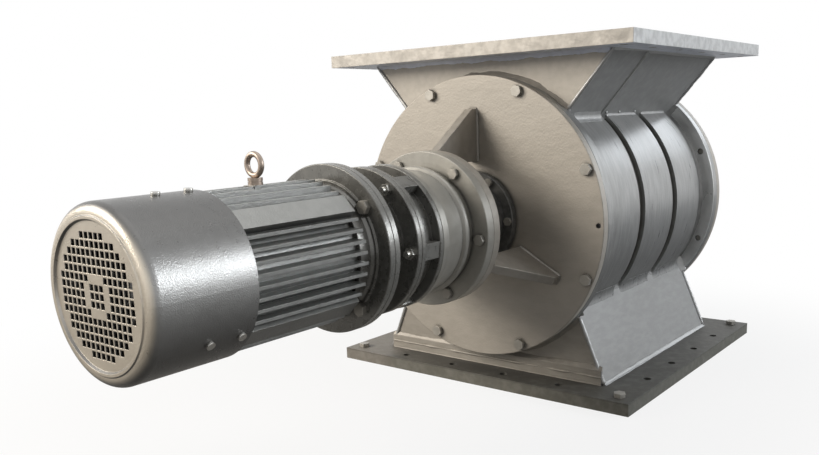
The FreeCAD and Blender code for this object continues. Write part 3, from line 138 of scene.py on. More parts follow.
class ShapeProperties(bpy.types.PropertyGroup):
    """Sizes of the welded body that its seams follow."""
    band_radius: length("Band radius", "Radius of the barrel's raised bands", 0.235)
    shell_radius: length("Shell radius", "Radius of the barrel between the bands", 0.226)
    band_outer_edge: length("Outer band edge", "Outer edge of the end bands", 0.208)
    band_inner_edge: length("Inner band edge", "Inner edge of the end bands", 0.089)
    middle_band_edge: length("Middle band edge", "Edge of the middle band", 0.065)
    inlet_half: length("Inlet half width", "Half width of the inlet chute at its flange", 0.247)
    outlet_half: length("Outlet half width", "Half width of the outlet chute at its flange", 0.2405)
    inlet_lean: angle("Inlet lean", "Lean of the inlet chute's side panels", 40.9)
    outlet_lean: angle("Outlet lean", "Lean of the outlet chute's side panels", 22.8)
    strip_edge: length("Strip edge", "Edge of the proud strip on the inlet chute", 0.098)
    strip_proud: length("Strip height", "How far the strip stands proud of the panel", 0.004)
    sill_tall: length("Sill height", "Height of the sill on the outlet flange", 0.026)
    sill_proud: length("Sill depth", "How far the sill stands proud of the panel", 0.005)
    sill_inset: length("Sill inset", "How far the sill stops short of the panel's edges", 0.004)
    gusset_thick: length("Gusset thickness", "Thickness of the bracket's gussets", 0.016)
    gusset_inner: length("Gusset inner edge", "Radius of the gussets' inner edge", 0.104)
    gusset_root: length("Gusset root", "Radius of the gussets' root on the cover", 0.196)


class WeldProperties(bpy.types.PropertyGroup):
    """Sizes of the weld beads and rounded edges."""
    panel_leg: length("Panel weld", "Leg of the welds between side panels and barrel", 0.013)
    flange_leg: length("Flange weld", "Leg of the welds round the chutes' feet", 0.007)
    ring_leg: length("Ring weld", "Leg of the welds on the end rings", 0.006)
    gusset_leg: length("Gusset weld", "Leg of the welds along the gussets", 0.0025)
    corner_bead: length("Corner bead", "Radius of the beads down the chutes' corners", 0.0036)
    edge: length("Edge", "Radius of a painted edge", 0.0012)
    lap_thick: length("Lap thickness", "Thickness of the cowl's lapped sheet", 0.0028)


class StudioProperties(bpy.types.PropertyGroup):
    """Floor, lamps and camera."""
    floor_size: length("Floor size", "Length of the floor's side", 14.0)
    floor: colour("Floor", "Colour of the floor under the valve", (0.29, 0.29, 0.29))
    paper: colour("Floor as seen", "Colour of the floor as the camera sees it", (0.92, 0.92, 0.92))
    floor_white: fraction("Floor white", "Share of plain white on the floor near the valve", 0.82)
    sky: fraction("Sky", "Level of the even light from all round", 0.032)
    key: watts("Key lamp", "Power of the warm lamp at the front left", 176)
    side: watts("Side lamp", "Power of the cool lamp at the right", 42)
    back: watts("Back lamp", "Power of the cool lamp behind", 9)
    top: watts("Top lamp", "Power of the lamp overhead", 18)
    camera: FloatVectorProperty(name="Camera", description="Where the camera stands", size=3,
                                subtype="TRANSLATION", unit="LENGTH",
                                default=(0.8513, -1.4997, 0.4965))
    azimuth: angle("Azimuth", "Camera's bearing, from +Y turning towards -X", 38.75)
    elevation: angle("Elevation", "Camera's angle above the horizon", 10.8)
    roll: angle("Roll", "Camera's tilt about its own line of sight", -1.99)
    focal_pixels: FloatProperty(name="Focal length", default=819.6, subtype="PIXEL",
                                description="Focal length in pixels of the photograph")
    centre_pixels: FloatVectorProperty(name="Centre", size=2, default=(421.4, 271.0),
                                       description="Image point straight ahead of the camera")


PHOTO_WIDE, PHOTO_TALL = 819, 455
SENSOR_WIDE = 36
SIDES = (("left", -1), ("right", 1))
ENDS = (("front", -1), ("rear", 1))

# Axis of a surface's direction, and the shares of it where a mask of faces() starts and ends.
# The tones that these masks pick paint light and shade by the way a surface faces.
FACING = {"across": ("X", 0.25, 0.55), "right": ("X", 0.1, 0.5), "inwards": ("Y", -0.1, -0.18),
          "round": ("Y", 0.85, 0.35), "up": ("Z", 0.1, 0.8), "down": ("Z", 0.1, -0.7)}

# Places where other masks start and end, in metres.
# Left end of the outlet flange, which takes a painted light.
LIT_END_SPAN = -0.17, -0.23
# Heights over which the painted contact shade fades in above the floor.
OFF_FLOOR = 0.018, 0.021
# Where the painted shade in the grooves fades out, along the axis and out from it.
BETWEEN_RINGS = 0.222, 0.212
GROOVE_SLOPE = 0.006
FLOOR_FADE = 0.5, 1.3
MIRRORED_FADE = 2, 5

# Stretches of a noise: marks run long along the axes with small numbers.
AROUND_BARREL = 0.35, 2.4, 0.35
TOOL_LINES = 0.1, 3, 0.1

# Tones of fresh brush streaks and of dust, and how far the painted shade reaches into a piece's own
# corners.
BRUSHED_TONE = 0.62, 0.61, 0.58
DUST_TONE = 0.16, 0.15, 0.135
CORNER_REACH = 0.012

# Welds: pitch and facets of their rings, how many rings a swell and a ripple take, how deep a
# fillet's root and its face are sunk, and the share of the full leg that slim and thin welds have.
RING_PITCH = 0.004
BEAD_FACETS = 8
FILLET_FACETS = 5
SWELL_RINGS, RIPPLE_RINGS = 5, 3
ROOT_SUNK, FACE_SUNK = 0.4, 0.03
SLIM_WELD, THIN_WELD = 0.7, 0.3
BAND_STEP = 0.003
TACKS = -0.075, -0.02, 0.05
GUSSET_TURNS = 90, 210, 330

# Lap of the cowl's sheet: its edges in degrees about the axis, steps between them, and depths.
LAP_TOP, LAP_FOOT = 180, 206
LAP_STEPS = 12
LAP_FROM_FACE = 0.018
LAP_SUNK = -0.001

# Edges that stay sharp in shading, edges that get rounded, and how near joined corners lie.
SHARP = math.radians(50)
ROUNDED = math.radians(35)
JOINED = 0.00002

# Tint, width, height and place of each lamp. All point at one spot on the valve.
LAMPS = {
    "key": ((1.0, 0.93, 0.83), 2.8, 2.0, (-2.5, -3.0, 2.1)),
    "side": ((0.92, 0.96, 1.0), 1.6, 0.8, (2.6, 1.25, 1.15)),
    "back": ((0.86, 0.93, 1.0), 1.4, 1.0, (0.7, 2.6, 1.5)),
    "top": ((1.0, 0.98, 0.95), 2.5, 2.5, (0.2, -0.2, 3.2)),
}
LAMP_TARGET = 0, -0.35, 0.3


class Wire:
    """Output socket of a finish's nodes, with the maths that the finishes use."""

    def __init__(self, finish, socket):
        self.finish = finish
        self.socket = socket

    def maths(self, operation, first, second):
        """Math node on two wires or numbers."""
        return self.finish.node("ShaderNodeMath", {"operation": operation}, {0: first, 1: second})

    def __add__(self, other):
        return self.maths("ADD", self, other)

    __radd__ = __add__

    def __sub__(self, other):
        return self.maths("SUBTRACT", self, other)

    def __rsub__(self, other):
        return self.maths("SUBTRACT", other, self)

    def __mul__(self, other):
        return self.maths("MULTIPLY", self, other)

    __rmul__ = __mul__

    def size(self):
        """The value without its sign."""
        return self.maths("ABSOLUTE", self, 0)

    def over(self, low, high):
        """Smooth mask that is 0 below low and 1 above high."""
        return self.finish.node("ShaderNodeMapRange", {"interpolation_type": "SMOOTHSTEP"},
                                {"Value": self, "From Min": low, "From Max": high})


class Finish:
    """A material under construction, on one Principled shader."""

    def __init__(self, name):
        self.material = bpy.data.materials.new(name)
        self.material.use_nodes = True
        self.tree = self.material.node_tree
        self.shader = next(node for node in self.tree.nodes if node.type == "BSDF_PRINCIPLED")

    @classmethod
    def of_world(cls, world):
        """The world's light under construction, on its Background shader."""
        finish = cls.__new__(cls)
        finish.tree = world.node_tree
        finish.shader = next(node for node in finish.tree.nodes if node.type == "BACKGROUND")
        return finish

    def node(self, kind, settings=None, values=None, output=0):
        """Add a node, set it up, then fill its sockets with values or wires."""
        made = self.tree.nodes.new(kind)
        for name, value in (settings or {}).items():
            setattr(made, name, value)
        for name, value in (values or {}).items():
            self.feed(made.inputs[name], value)
        return Wire(self, made.outputs[output])

    def feed(self, socket, value):
        """Set a socket to a value or link a wire to it."""
        if isinstance(value, Wire):
            self.tree.links.new(value.socket, socket)
        elif hasattr(value, "__len__") and socket.type == "RGBA":
            socket.default_value = (*value[:3], 1)
        else:
            socket.default_value = value

    def set(self, **values):
        """Fill the shader's sockets; Base_Color means Base Color."""
        for name, value in values.items():
            self.feed(self.shader.inputs[name.replace("_", " ")], value)

    def vectors(self, operation, first, second=(0, 0, 0), output=0):
        """Vector Math node on one or two vectors."""
        return self.node("ShaderNodeVectorMath", {"operation": operation},
                         {0: first, 1: second}, output)

    def place(self):
        """Point on the object, in metres."""
        return self.node("ShaderNodeTexCoord", output="Object")

    def normal_part(self, axis):
        """Share of the surface's direction along X, Y or Z of the object."""
        normal = self.node("ShaderNodeTexCoord", output="Normal")
        return self.node("ShaderNodeSeparateXYZ", values={0: normal}, output=axis)

    def faces(self, way):
        """1 where the surface faces across, right, up, down, inwards or round the rotor axis."""
        axis, start, end = FACING[way]
        part = self.normal_part(axis)
        if way in ("across", "round"):
            part = part.size()
        elif way == "inwards":
            part = part * self.place_part(axis)
        return part.over(start, end)

    def place_part(self, axis):
        """One coordinate of the point on the object."""
        return self.node("ShaderNodeSeparateXYZ", values={0: self.place()}, output=axis)

    def noise(self, per_metre, detail, stretch=(1, 1, 1)):
        """Noise from 0 to 1, with so many lumps in a metre."""
        scaled = self.vectors("MULTIPLY", self.place(), stretch)
        return self.node("ShaderNodeTexNoise",
                         values={"Vector": scaled, "Scale": per_metre, "Detail": detail})

    def axis_distance(self):
        """Distance from the rotor axis."""
        offset = self.vectors("SUBTRACT", self.place(), (0, 0, AXIS_HEIGHT))
        return self.vectors("LENGTH", self.vectors("MULTIPLY", offset, (1, 0, 1)), output="Value")

    def hollows(self, reach, alone=True):
        """1 deep in holes and corners, of the object alone or with its neighbours, else 0."""
        open_share = self.node("ShaderNodeAmbientOcclusion", {"samples": 6, "only_local": alone},
                               {"Distance": reach}, "AO")
        return open_share.over(0.6, 0.2) if alone else open_share.over(0.9, 0.5)

    def rounded(self, radius):
        """Surface direction with its edges rounded."""
        return self.node("ShaderNodeBevel", {"samples": 4}, {"Radius": radius})

    def mix(self, factor, first, second):
        """Colour between two colours. The node's socket names repeat, so they go by number."""
        return self.node("ShaderNodeMix", {"data_type": "RGBA"},
                         {0: factor, 6: first, 7: second}, 2)

    def bump(self, height, distance, under=None):
        """Surface relief from a height in shares of a distance in metres, on top of another."""
        values = {"Height": height, "Distance": distance}
        if under is not None:
            values["Normal"] = under
        return self.node("ShaderNodeBump", values=values)


def shade_of(tone, share):
    """A colour made lighter or darker by a share."""
    return tuple(min(1.0, part * share) for part in tone)


def aluminium_paint(name, tone, worn, metal=0.2, rough=0.42, streak=(1, 1, 1), streaks=0.12,
                    grime=0.3, lumps=0.0004, peel=0.00012, fine=430, patches=6, specks=0.16,
                    groove=None, edge=0.0012, gloss=0.5, lit_end=None, foot=None, **facing):
    """Aluminium paint put on by hand: uneven coats, brush streaks, grime, specks and orange peel.

    lumps and peel are depths of relief, and edge is the radius of rounded edges. fine and patches
    are how many lumps of peel and patches of paint there are in a metre. groove is the radius about
    the rotor axis below which the paint between the bands is darker, a painted shade in the
    grooves. The tone given for the left end is lighter, a painted light. The paint is darker deep
    in the piece's own holes and corners, a painted shade, and foot is the reach of a painted
    contact shade round what stands on the piece. Surfaces that face one of the ways in FACING
    may have a tone of their own, which paints light and shade by how they face.
    """
    finish = Finish(name)
    corner_shade = shade_of(worn, 0.3)
    # Tones by the way a surface faces paint light and shade.
    for way, other in facing.items():
        tone = finish.mix(finish.faces(way), tone, other)
    # Painted light: the left end is lighter.
    if lit_end is not None:
        tone = finish.mix(finish.place_part("X").over(*LIT_END_SPAN), tone, lit_end)
    coats = finish.noise(patches, 5, streak)
    brushed = finish.noise(70, 4, streak)
    spots = finish.noise(260, 2).over(0.66, 0.74) * specks
    painted = finish.mix(coats.over(0.45, 0.8) * grime + spots, tone, worn)
    painted = finish.mix(brushed.over(0.35, 0.75) * streaks, painted, BRUSHED_TONE)
    painted = finish.mix(brushed.over(0.62, 0.35) * streaks, painted, worn)
    # Painted shade: darker paint in the grooves between the bands.
    if groove is not None:
        low = finish.axis_distance().over(groove + GROOVE_SLOPE, groove)
        between = finish.place_part("Y").size().over(*BETWEEN_RINGS)
        painted = finish.mix(low * between, painted, shade_of(worn, 0.9))
    # Painted shade: darker paint deep in the piece's own holes and corners.
    painted = finish.mix(finish.hollows(CORNER_REACH) * 0.75, painted, corner_shade)
    # Painted contact shade round what stands on the piece, fading out near the floor.
    if foot is not None:
        off_floor = finish.place_part("Z").over(*OFF_FLOOR)
        painted = finish.mix(finish.hollows(foot, False) * off_floor * 0.8, painted, corner_shade)
    relief = finish.bump(finish.noise(32, 3, streak), lumps, finish.rounded(edge))
    relief = finish.bump(finish.noise(fine, 2), peel, relief)
    finish.set(Base_Color=painted, Metallic=metal, Normal=relief, Specular_IOR_Level=gloss,
               Roughness=brushed * 0.18 + coats * 0.12 + (rough - 0.15))
    return finish.material


def bare_metal(name, tone, rough, lines=(1, 1, 1), tarnish=None):
    """Turned or ground metal with fine tool lines and a little tarnish."""
    finish = Finish(name)
    spots = finish.noise(25, 4).over(0.5, 0.8)
    scored = finish.noise(500, 2, lines)
    finish.set(Base_Color=finish.mix(spots * 0.6, tone, tarnish or shade_of(tone, 0.55)),
               Metallic=0.9, Roughness=scored * 0.18 + spots * 0.15 + (rough - 0.1),
               Normal=finish.bump(scored, 0.0001))
    return finish.material


def moulded(name, tone, rough=0.55):
    """Moulded rubber or plastic with a fine skin."""
    finish = Finish(name)
    grain = finish.noise(700, 3)
    dust = finish.noise(18, 4).over(0.45, 0.85)
    finish.set(Base_Color=finish.mix(dust * 0.35, tone, DUST_TONE),
               Roughness=dust * 0.2 + grain * 0.1 + (rough - 0.1),
               Normal=finish.bump(grain, 0.0001))
    return finish.material


def stacked(name, tone, sheets_per_metre, metal, rough):
    """Layers across the rotor axis: core sheets, braided packing or wound wire."""
    finish = Finish(name)
    along = finish.place_part("Y")
    layers = finish.node("ShaderNodeMath", {"operation": "SINE"},
                         {0: along * (sheets_per_metre * math.tau)})
    finish.set(Base_Color=finish.mix(layers.over(-1, 1), shade_of(tone, 0.5), tone),
               Metallic=metal, Roughness=finish.noise(60, 3) * 0.2 + (rough - 0.1),
               Normal=finish.bump(layers, 0.0003))
    return finish.material


def dress(material, *nodes):
    """Give CAD nodes a finish."""
    for node in nodes:
        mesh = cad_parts[node].data
        mesh.materials.clear()
        mesh.materials.append(material)


def round_edges(radius, *nodes):
    """Round the painted edges of CAD nodes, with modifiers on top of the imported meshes."""
    for node in nodes:
        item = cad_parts[node]
        welded = item.modifiers.new("joined_faces", "WELD")
        welded.merge_threshold = JOINED
        rounded = item.modifiers.new("rounded_edges", "BEVEL")
        rounded.width = radius
        rounded.segments = 2
        rounded.limit_method = "ANGLE"
        rounded.angle_limit = ROUNDED
        rounded.harden_normals = True


def uneven_sizes(name, total, uneven):
    """Size of a weld from ring to ring: slow swells, ripples and a little chance."""
    chance = random.Random(sum(map(ord, name)))
    swell = [chance.uniform(-1, 1) for _ in range(total // SWELL_RINGS + 2)]
    for index in range(total):
        place, part = divmod(index / SWELL_RINGS, 1)
        slow = swell[int(place)] * (1 - part) + swell[int(place) + 1] * part
        ripple = 0.05 * math.sin(math.tau * index / RIPPLE_RINGS)
        yield 1 + uneven * slow + ripple + chance.uniform(-0.04, 0.04)


def skin(name, rings, material):
    """Piece with a closed skin over rings of points."""
    mesh = bmesh.new()
    made = [[mesh.verts.new(point) for point in ring] for ring in rings]
    for before, after in zip(made, made[1:]):
        for step in range(len(before)):
            following = (step + 1) % len(before)
            mesh.faces.new((before[step], before[following], after[following], after[step]))
    mesh.faces.new(made[0])
    mesh.faces.new(reversed(made[-1]))
    piece(name, mesh, material, "housing")


def weld_bead(name, path, radius, material, uneven=0.18):
    """Run of weld over an edge or a surface."""
    points = spaced(path, RING_PITCH)
    rings = []
    for index, (point, grown) in enumerate(zip(points, uneven_sizes(name, len(points), uneven))):
        way = (points[min(index + 1, len(points) - 1)] - points[max(index - 1, 0)]).normalized()
        aside = Vector((0, 1, 0)) if abs(way.y) < 0.9 else Vector((1, 0, 0))
        across = way.cross(aside).normalized()
        upward = way.cross(across)
        size = radius * grown * (0.5 if index in (0, len(points) - 1) else 1)
        turns = (math.tau * step / BEAD_FACETS for step in range(BEAD_FACETS))
        rings.append([point + (across * math.cos(turn) + upward * math.sin(turn)) * size
                      for turn in turns])
    skin(name, rings, material)


def weld_fillet(name, rows, material, hollow=0.3, uneven=0.14):
    """Weld in a corner. A row gives a point of the corner and the legs along both surfaces."""
    rings = []
    for (corner, first, second), grown in zip(rows, uneven_sizes(name, len(rows), uneven)):
        middle = (first + second) / 2
        points = [corner - middle * ROOT_SUNK]
        for share in (step / FILLET_FACETS for step in range(FILLET_FACETS + 1)):
            bow = 4 * share * (1 - share) * hollow
            leg = (first * (1 - share) + second * share - middle * bow) * grown
            points.append(corner + leg - middle * FACE_SUNK)
        rings.append(points)
    skin(name, rings, material)


def spaced(path, step):
    """Points at even steps along a path of corners."""
    points = []
    for start, end in zip(path, path[1:]):
        count = max(1, round((end - start).length / step))
        points += [start.lerp(end, index / count) for index in range(count)]
    return points + [path[-1]]


def straight_rows(start, end, first, second):
    """Rows of a weld along a straight corner."""
    return [(point, first, second) for point in spaced([start, end], RING_PITCH)]


def radial_rows(radius, station, start, end, outward, along):
    """Rows of a weld round the rotor axis, with one leg away from the axis and one along it."""
    count = round(abs(end - start) * radius / RING_PITCH)
    rows = []
    for turn in (start + (end - start) * index / count for index in range(count + 1)):
        away = Vector((math.sin(turn), 0, math.cos(turn)))
        rows.append((Vector((0, station, AXIS_HEIGHT)) + away * radius, away * outward,
                     Vector((0, along, 0))))
    return rows


def object_of(name, mesh, material):
    """Object of a bmesh, with one material."""
    data = bpy.data.meshes.new(name)
    mesh.to_mesh(data)
    mesh.free()
    data.materials.append(material)
    made = bpy.data.objects.new(name, data)
    bpy.context.scene.collection.objects.link(made)
    return made


def piece(name, mesh, material, body):
    """Finish a bmesh as a named piece that rides on a body, smooth between its sharp edges."""
    bmesh.ops.recalc_face_normals(mesh, faces=mesh.faces)
    for edge in mesh.edges:
        edge.smooth = edge.calc_face_angle(0) < SHARP
    for face in mesh.faces:
        face.smooth = True
    made = object_of(name, mesh, material)
    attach(made, body)


class Chute:
    """Seams of one chute: its side panels lean out from the barrel to the flange.

    Heights count from the rotor axis towards the chute's own flange.
    """

    def __init__(self, shape, port):
        self.shape = shape
        self.port = port
        self.upward = 1 if port == "inlet" else -1
        self.half = getattr(shape, f"{port}_half")
        self.slope = math.tan(getattr(shape, f"{port}_lean"))
        self.face = abs((INLET_FACE if port == "inlet" else OUTLET_FACE) - AXIS_HEIGHT)

    def out_at(self, station):
        """How much wider the chute is at a place along the axis, because of the strips."""
        proud = self.port == "inlet" and station < -self.shape.strip_edge
        return self.shape.strip_proud * math.hypot(1, self.slope) if proud else 0

    def radius_at(self, station):
        """Radius of the barrel at a place along the axis, with soft steps at the grooves."""
        shape = self.shape
        place = abs(station)
        inside = max(shape.middle_band_edge - place,
                     min(place - shape.band_inner_edge, shape.band_outer_edge - place))
        share = min(1, max(0, inside / BAND_STEP + 0.5))
        return shape.shell_radius + (shape.band_radius - shape.shell_radius) * share

    def meets(self, radius, station):
        """Half width and height where a side panel meets a round about the axis."""
        start = self.half - self.face * self.slope + self.out_at(station)
        square = 1 + self.slope ** 2
        height = (math.sqrt(start ** 2 * self.slope ** 2 - square * (start ** 2 - radius ** 2))
                  - start * self.slope) / square
        return start + self.slope * height, height

    def point(self, across, station, height):
        """Point in the frame."""
        return Vector((across, station, AXIS_HEIGHT + self.upward * height))

    def edge_point(self, side, station, radius=None):
        """Point of a side panel's face, at a round about the axis or else at the flange."""
        if radius is None:
            return self.point(side * (self.half + self.out_at(station)), station, self.face)
        across, height = self.meets(radius, station)
        return self.point(side * across, station, height)

    def along_panel(self, side):
        """Way along a side panel's face, from the barrel to the flange."""
        return Vector((side * self.slope, 0, self.upward)).normalized()

    def off_panel(self, side):
        """Way straight out of a side panel's face."""
        return Vector((side, 0, -self.upward * self.slope)).normalized()

    def barrel_rows(self, side, leg):
        """Weld between a side panel and the barrel, which dips into the grooves."""
        rows = []
        ends = [Vector((0, CHUTE_FRONT, 0)), Vector((0, -CHUTE_FRONT, 0))]
        for station in (point.y for point in spaced(ends, RING_PITCH / 2)):
            radius = self.radius_at(station)
            across, height = self.meets(radius, station)
            round_barrel = Vector((side * height, 0, -self.upward * across)) / radius
            full = self.port == "outlet" or station < -self.shape.strip_edge
            size = leg if full else leg * THIN_WELD
            rows.append((self.point(side * across, station, height), self.along_panel(side) * size,
                         round_barrel * size))
        return rows

    def end_rows(self, end, leg):
        """Weld between an end panel and the rim of its end ring."""
        across, height = self.meets(END_RADIUS, end * -CHUTE_FRONT)
        turn = math.atan2(across, height)
        middle = 0 if self.upward > 0 else math.pi
        return radial_rows(END_RADIUS, end * -CHUTE_FRONT, middle - turn, middle + turn, leg,
                           end * leg)

    def ring_rows(self, side, end, leg):
        """Short weld between the edge of a side panel and the inner face of an end ring."""
        station = end * -CHUTE_FRONT
        return straight_rows(self.edge_point(side, station, self.shape.shell_radius),
                             self.edge_point(side, station, END_RADIUS),
                             Vector((0, -end * leg, 0)), self.off_panel(side) * leg)

    def side_foot_rows(self, side, leg):
        """Weld between a side panel and the flange."""
        ends = (self.edge_point(side, end * CHUTE_FRONT) for end in (1, -1))
        return straight_rows(*ends, self.along_panel(side) * -leg, Vector((side * leg, 0, 0)))

    def end_foot_rows(self, end, leg, inset, out):
        """Weld between an end panel and the flange, inset at its ends and out from the panel."""
        station = end * (-CHUTE_FRONT + out)
        corners = (self.point(side * (self.half - inset), station, self.face) for side in (-1, 1))
        return straight_rows(*corners, Vector((0, 0, -self.upward * leg)),
                             Vector((0, end * leg, 0)))


def scene_values(context):
    """Paints, shape and welds as the scene has them."""
    return context.scene.valve_paints, context.scene.valve_shape, context.scene.valve_welds


class PaintBody(bpy.types.Operator):
    """Paint the barrel, the chutes and the flanges"""
    bl_idname = "valve.paint_body"
    bl_label = "Paint Body"

    def execute(self, context):
        paints, shape, _ = scene_values(context)
        silver, cover, base, old = paints.silver, paints.cover, paints.base, paints.shade
        # Barrel: painted shade below and in grooves; painted light on end rings' inner faces.
        dress(aluminium_paint("barrel_paint", silver, old, 0.4, 0.31, AROUND_BARREL, streaks=0.2,
                              peel=0.00025, specks=0, gloss=0.8, groove=shape.shell_radius + 0.001,
                              down=shade_of(silver, 0.35), inwards=shade_of(silver, 2.5)),
              "body_barrel")
        # Inlet chute: side panels take a darker silver, a painted shade by how they face.
        dress(aluminium_paint("inlet_paint", cover, old, rough=0.45, across=shade_of(silver, 0.75)),
              "inlet_chute")
        # Outlet chute: front and side panels differ in tone, painted light and shade by facing.
        dress(aluminium_paint("outlet_paint", shade_of(cover, 0.85), old, rough=0.45, grime=0.3,
                              streak=(0.5, 0.5, 1.6), lumps=0.0009, streaks=0.1,
                              across=shade_of(silver, 0.85)), "outlet_chute")
        # Inlet flange: lighter sides and a light blue underside, painted light.
        dress(aluminium_paint("inlet_flange_paint", cover, old, rough=0.38, lumps=0.0012,
                              patches=60, streaks=0.3, across=shade_of(silver, 1.6),
                              down=paints.under), "inlet_flange")
        # Outlet flange: painted shade on top and round the chute, painted light at the left end.
        dress(aluminium_paint("outlet_flange_paint", base, shade_of(old, 0.6), 0.12, 0.55,
                              lumps=0.0006, grime=0.5, up=shade_of(base, 0.36),
                              lit_end=shade_of(cover, 0.55), foot=0.06), "outlet_flange")
        return {"FINISHED"}


class PaintEnds(bpy.types.Operator):
    """Paint the end covers, bearing housings and caps with their bolts"""
    bl_idname = "valve.paint_ends"
    bl_label = "Paint Ends"

    def execute(self, context):
        paints = context.scene.valve_paints
        cover, old, shaded_housing = paints.cover, paints.shade, paints.shaded_housing
        # Covers: painted contact shade round the bolts and the bracket.
        dress(aluminium_paint("cover_paint", cover, old, rough=0.45, streaks=0.06,
                              streak=(0.6, 1, 1.4), grime=0.28, lumps=0.0005, peel=0.0003,
                              fine=320, edge=0.0025, foot=0.009), "front_cover", "rear_cover")
        dress(aluminium_paint("bracket_paint", shade_of(cover, 0.85), old, rough=0.4, grime=0.2),
              "bracket_ring", "bracket_gussets")
        # Bearing housings: a dark tone that paints the shade they sit in.
        dress(aluminium_paint("bearing_housing_paint", shaded_housing, shade_of(shaded_housing, 0.4)),
              "front_bearing_housing", "rear_bearing_housing", "front_bearing_cap",
              "rear_bearing_cap")
        dress(aluminium_paint("bolt_paint", paints.bolt, old, 0.35, 0.38, grime=0.4, lumps=0.0001),
              "cover_bolts", "outlet_corner_bolts", "bearing_housing_bolts", "bearing_cap_screws",
              "reducer_mount_bolts", "motor_flange_bolts")
        return {"FINISHED"}


class PaintDrive(bpy.types.Operator):
    """Paint the reducer and the motor"""
    bl_idname = "valve.paint_drive"
    bl_label = "Paint Drive"

    def execute(self, context):
        paints = context.scene.valve_paints
        old, reducer, motor = paints.shade, paints.reducer, paints.motor
        cowl, cowl_end = paints.cowl, paints.cowl_end
        # Reducer: lighter rims, a painted highlight; dark faces, partly painted shade.
        dress(aluminium_paint("reducer_paint", reducer, shade_of(old, 0.4), 0.4, 0.28,
                              lumps=0.0003, streaks=0.06, grime=0.12, specks=0, gloss=0.8,
                              round=shade_of(reducer, 1.5)),
              "pin_gear_housing", "reducer_input_flange", "motor_flange_shield",
              "motor_rear_shield")
        # Output housing: painted contact shade round what stands on it.
        dress(aluminium_paint("housing_paint", paints.housing, old, 0.3, 0.36, lumps=0.0003,
                              streaks=0.08, grime=0.12, foot=0.007), "reducer_output_housing")
        # Motor: lighter on top and darker below, painted light and shade.
        dress(aluminium_paint("motor_paint", motor, shade_of(old, 0.7), 0.35, 0.34, peel=0.0004,
                              streaks=0.08, grime=0.15, edge=0.0008, up=shade_of(motor, 1.5),
                              down=shade_of(motor, 0.5)),
              "motor_frame", "terminal_box", "terminal_box_lid")
        # Cowl: painted light on the end and right shoulder, painted shade on top and below.
        dress(aluminium_paint("cowl_paint", cowl_end, old, 0.5, 0.3, peel=0.00035, fine=650,
                              lumps=0.0001, streaks=0.04, grime=0.1, specks=0, gloss=1,
                              right=shade_of(cowl_end, 1.6), round=cowl, up=shade_of(cowl, 0.3),
                              down=shade_of(cowl, 0.15)), "fan_cowl")
        dress(bare_metal("screw_zinc", paints.zinc, 0.3), "reducer_stage_studs", "cowl_screws",
              "terminal_box_screws")
        dress(bare_metal("eye_steel", paints.eye, 0.38, tarnish=paints.rust), "lifting_eye")
        return {"FINISHED"}


class FinishInside(bpy.types.Operator):
    """Give the rotor, the shafts, the cycloidal stage and the motor's inside their finishes"""
    bl_idname = "valve.finish_inside"
    bl_label = "Finish Inside"

    def execute(self, context):
        paints = context.scene.valve_paints
        steel = paints.steel
        dress(bare_metal("turned_steel", steel, 0.26, TOOL_LINES), "rotor_shaft", "output_shaft",
              "motor_shaft", "coupling_sleeve", "coupling_keys", "eccentric_sleeve",
              "carrier_pins", "ring_pins", "carrier_rollers")
        dress(bare_metal("rotor_steel", shade_of(steel, 0.75), 0.42, (1, 0.1, 1)), "rotor_vanes")
        dress(bare_metal("gear_steel", shade_of(steel, 0.9), 0.3), "cycloid_disc_front",
              "cycloid_disc_rear")
        dress(bare_metal("bearing_steel", shade_of(steel, 1.1), 0.15, TOOL_LINES), "front_bearing",
              "rear_bearing", "output_shaft_outer_bearing", "output_shaft_inner_bearing",
              "motor_front_bearing", "motor_rear_bearing", "eccentric_bearings")
        dress(moulded("seal_rubber", paints.rubber), "output_shaft_seal", "input_shaft_seal",
              "cable_gland")
        dress(moulded("fan_plastic", paints.fan, 0.45), "cooling_fan")
        dress(stacked("packing_cord", paints.packing, 250, 0, 0.85), "front_shaft_packing",
              "rear_shaft_packing")
        dress(stacked("core_sheets", paints.core, 600, 0.8, 0.5), "stator_core", "motor_rotor_core")
        dress(stacked("winding_copper", paints.copper, 330, 0.7, 0.35), "stator_windings")
        return {"FINISHED"}


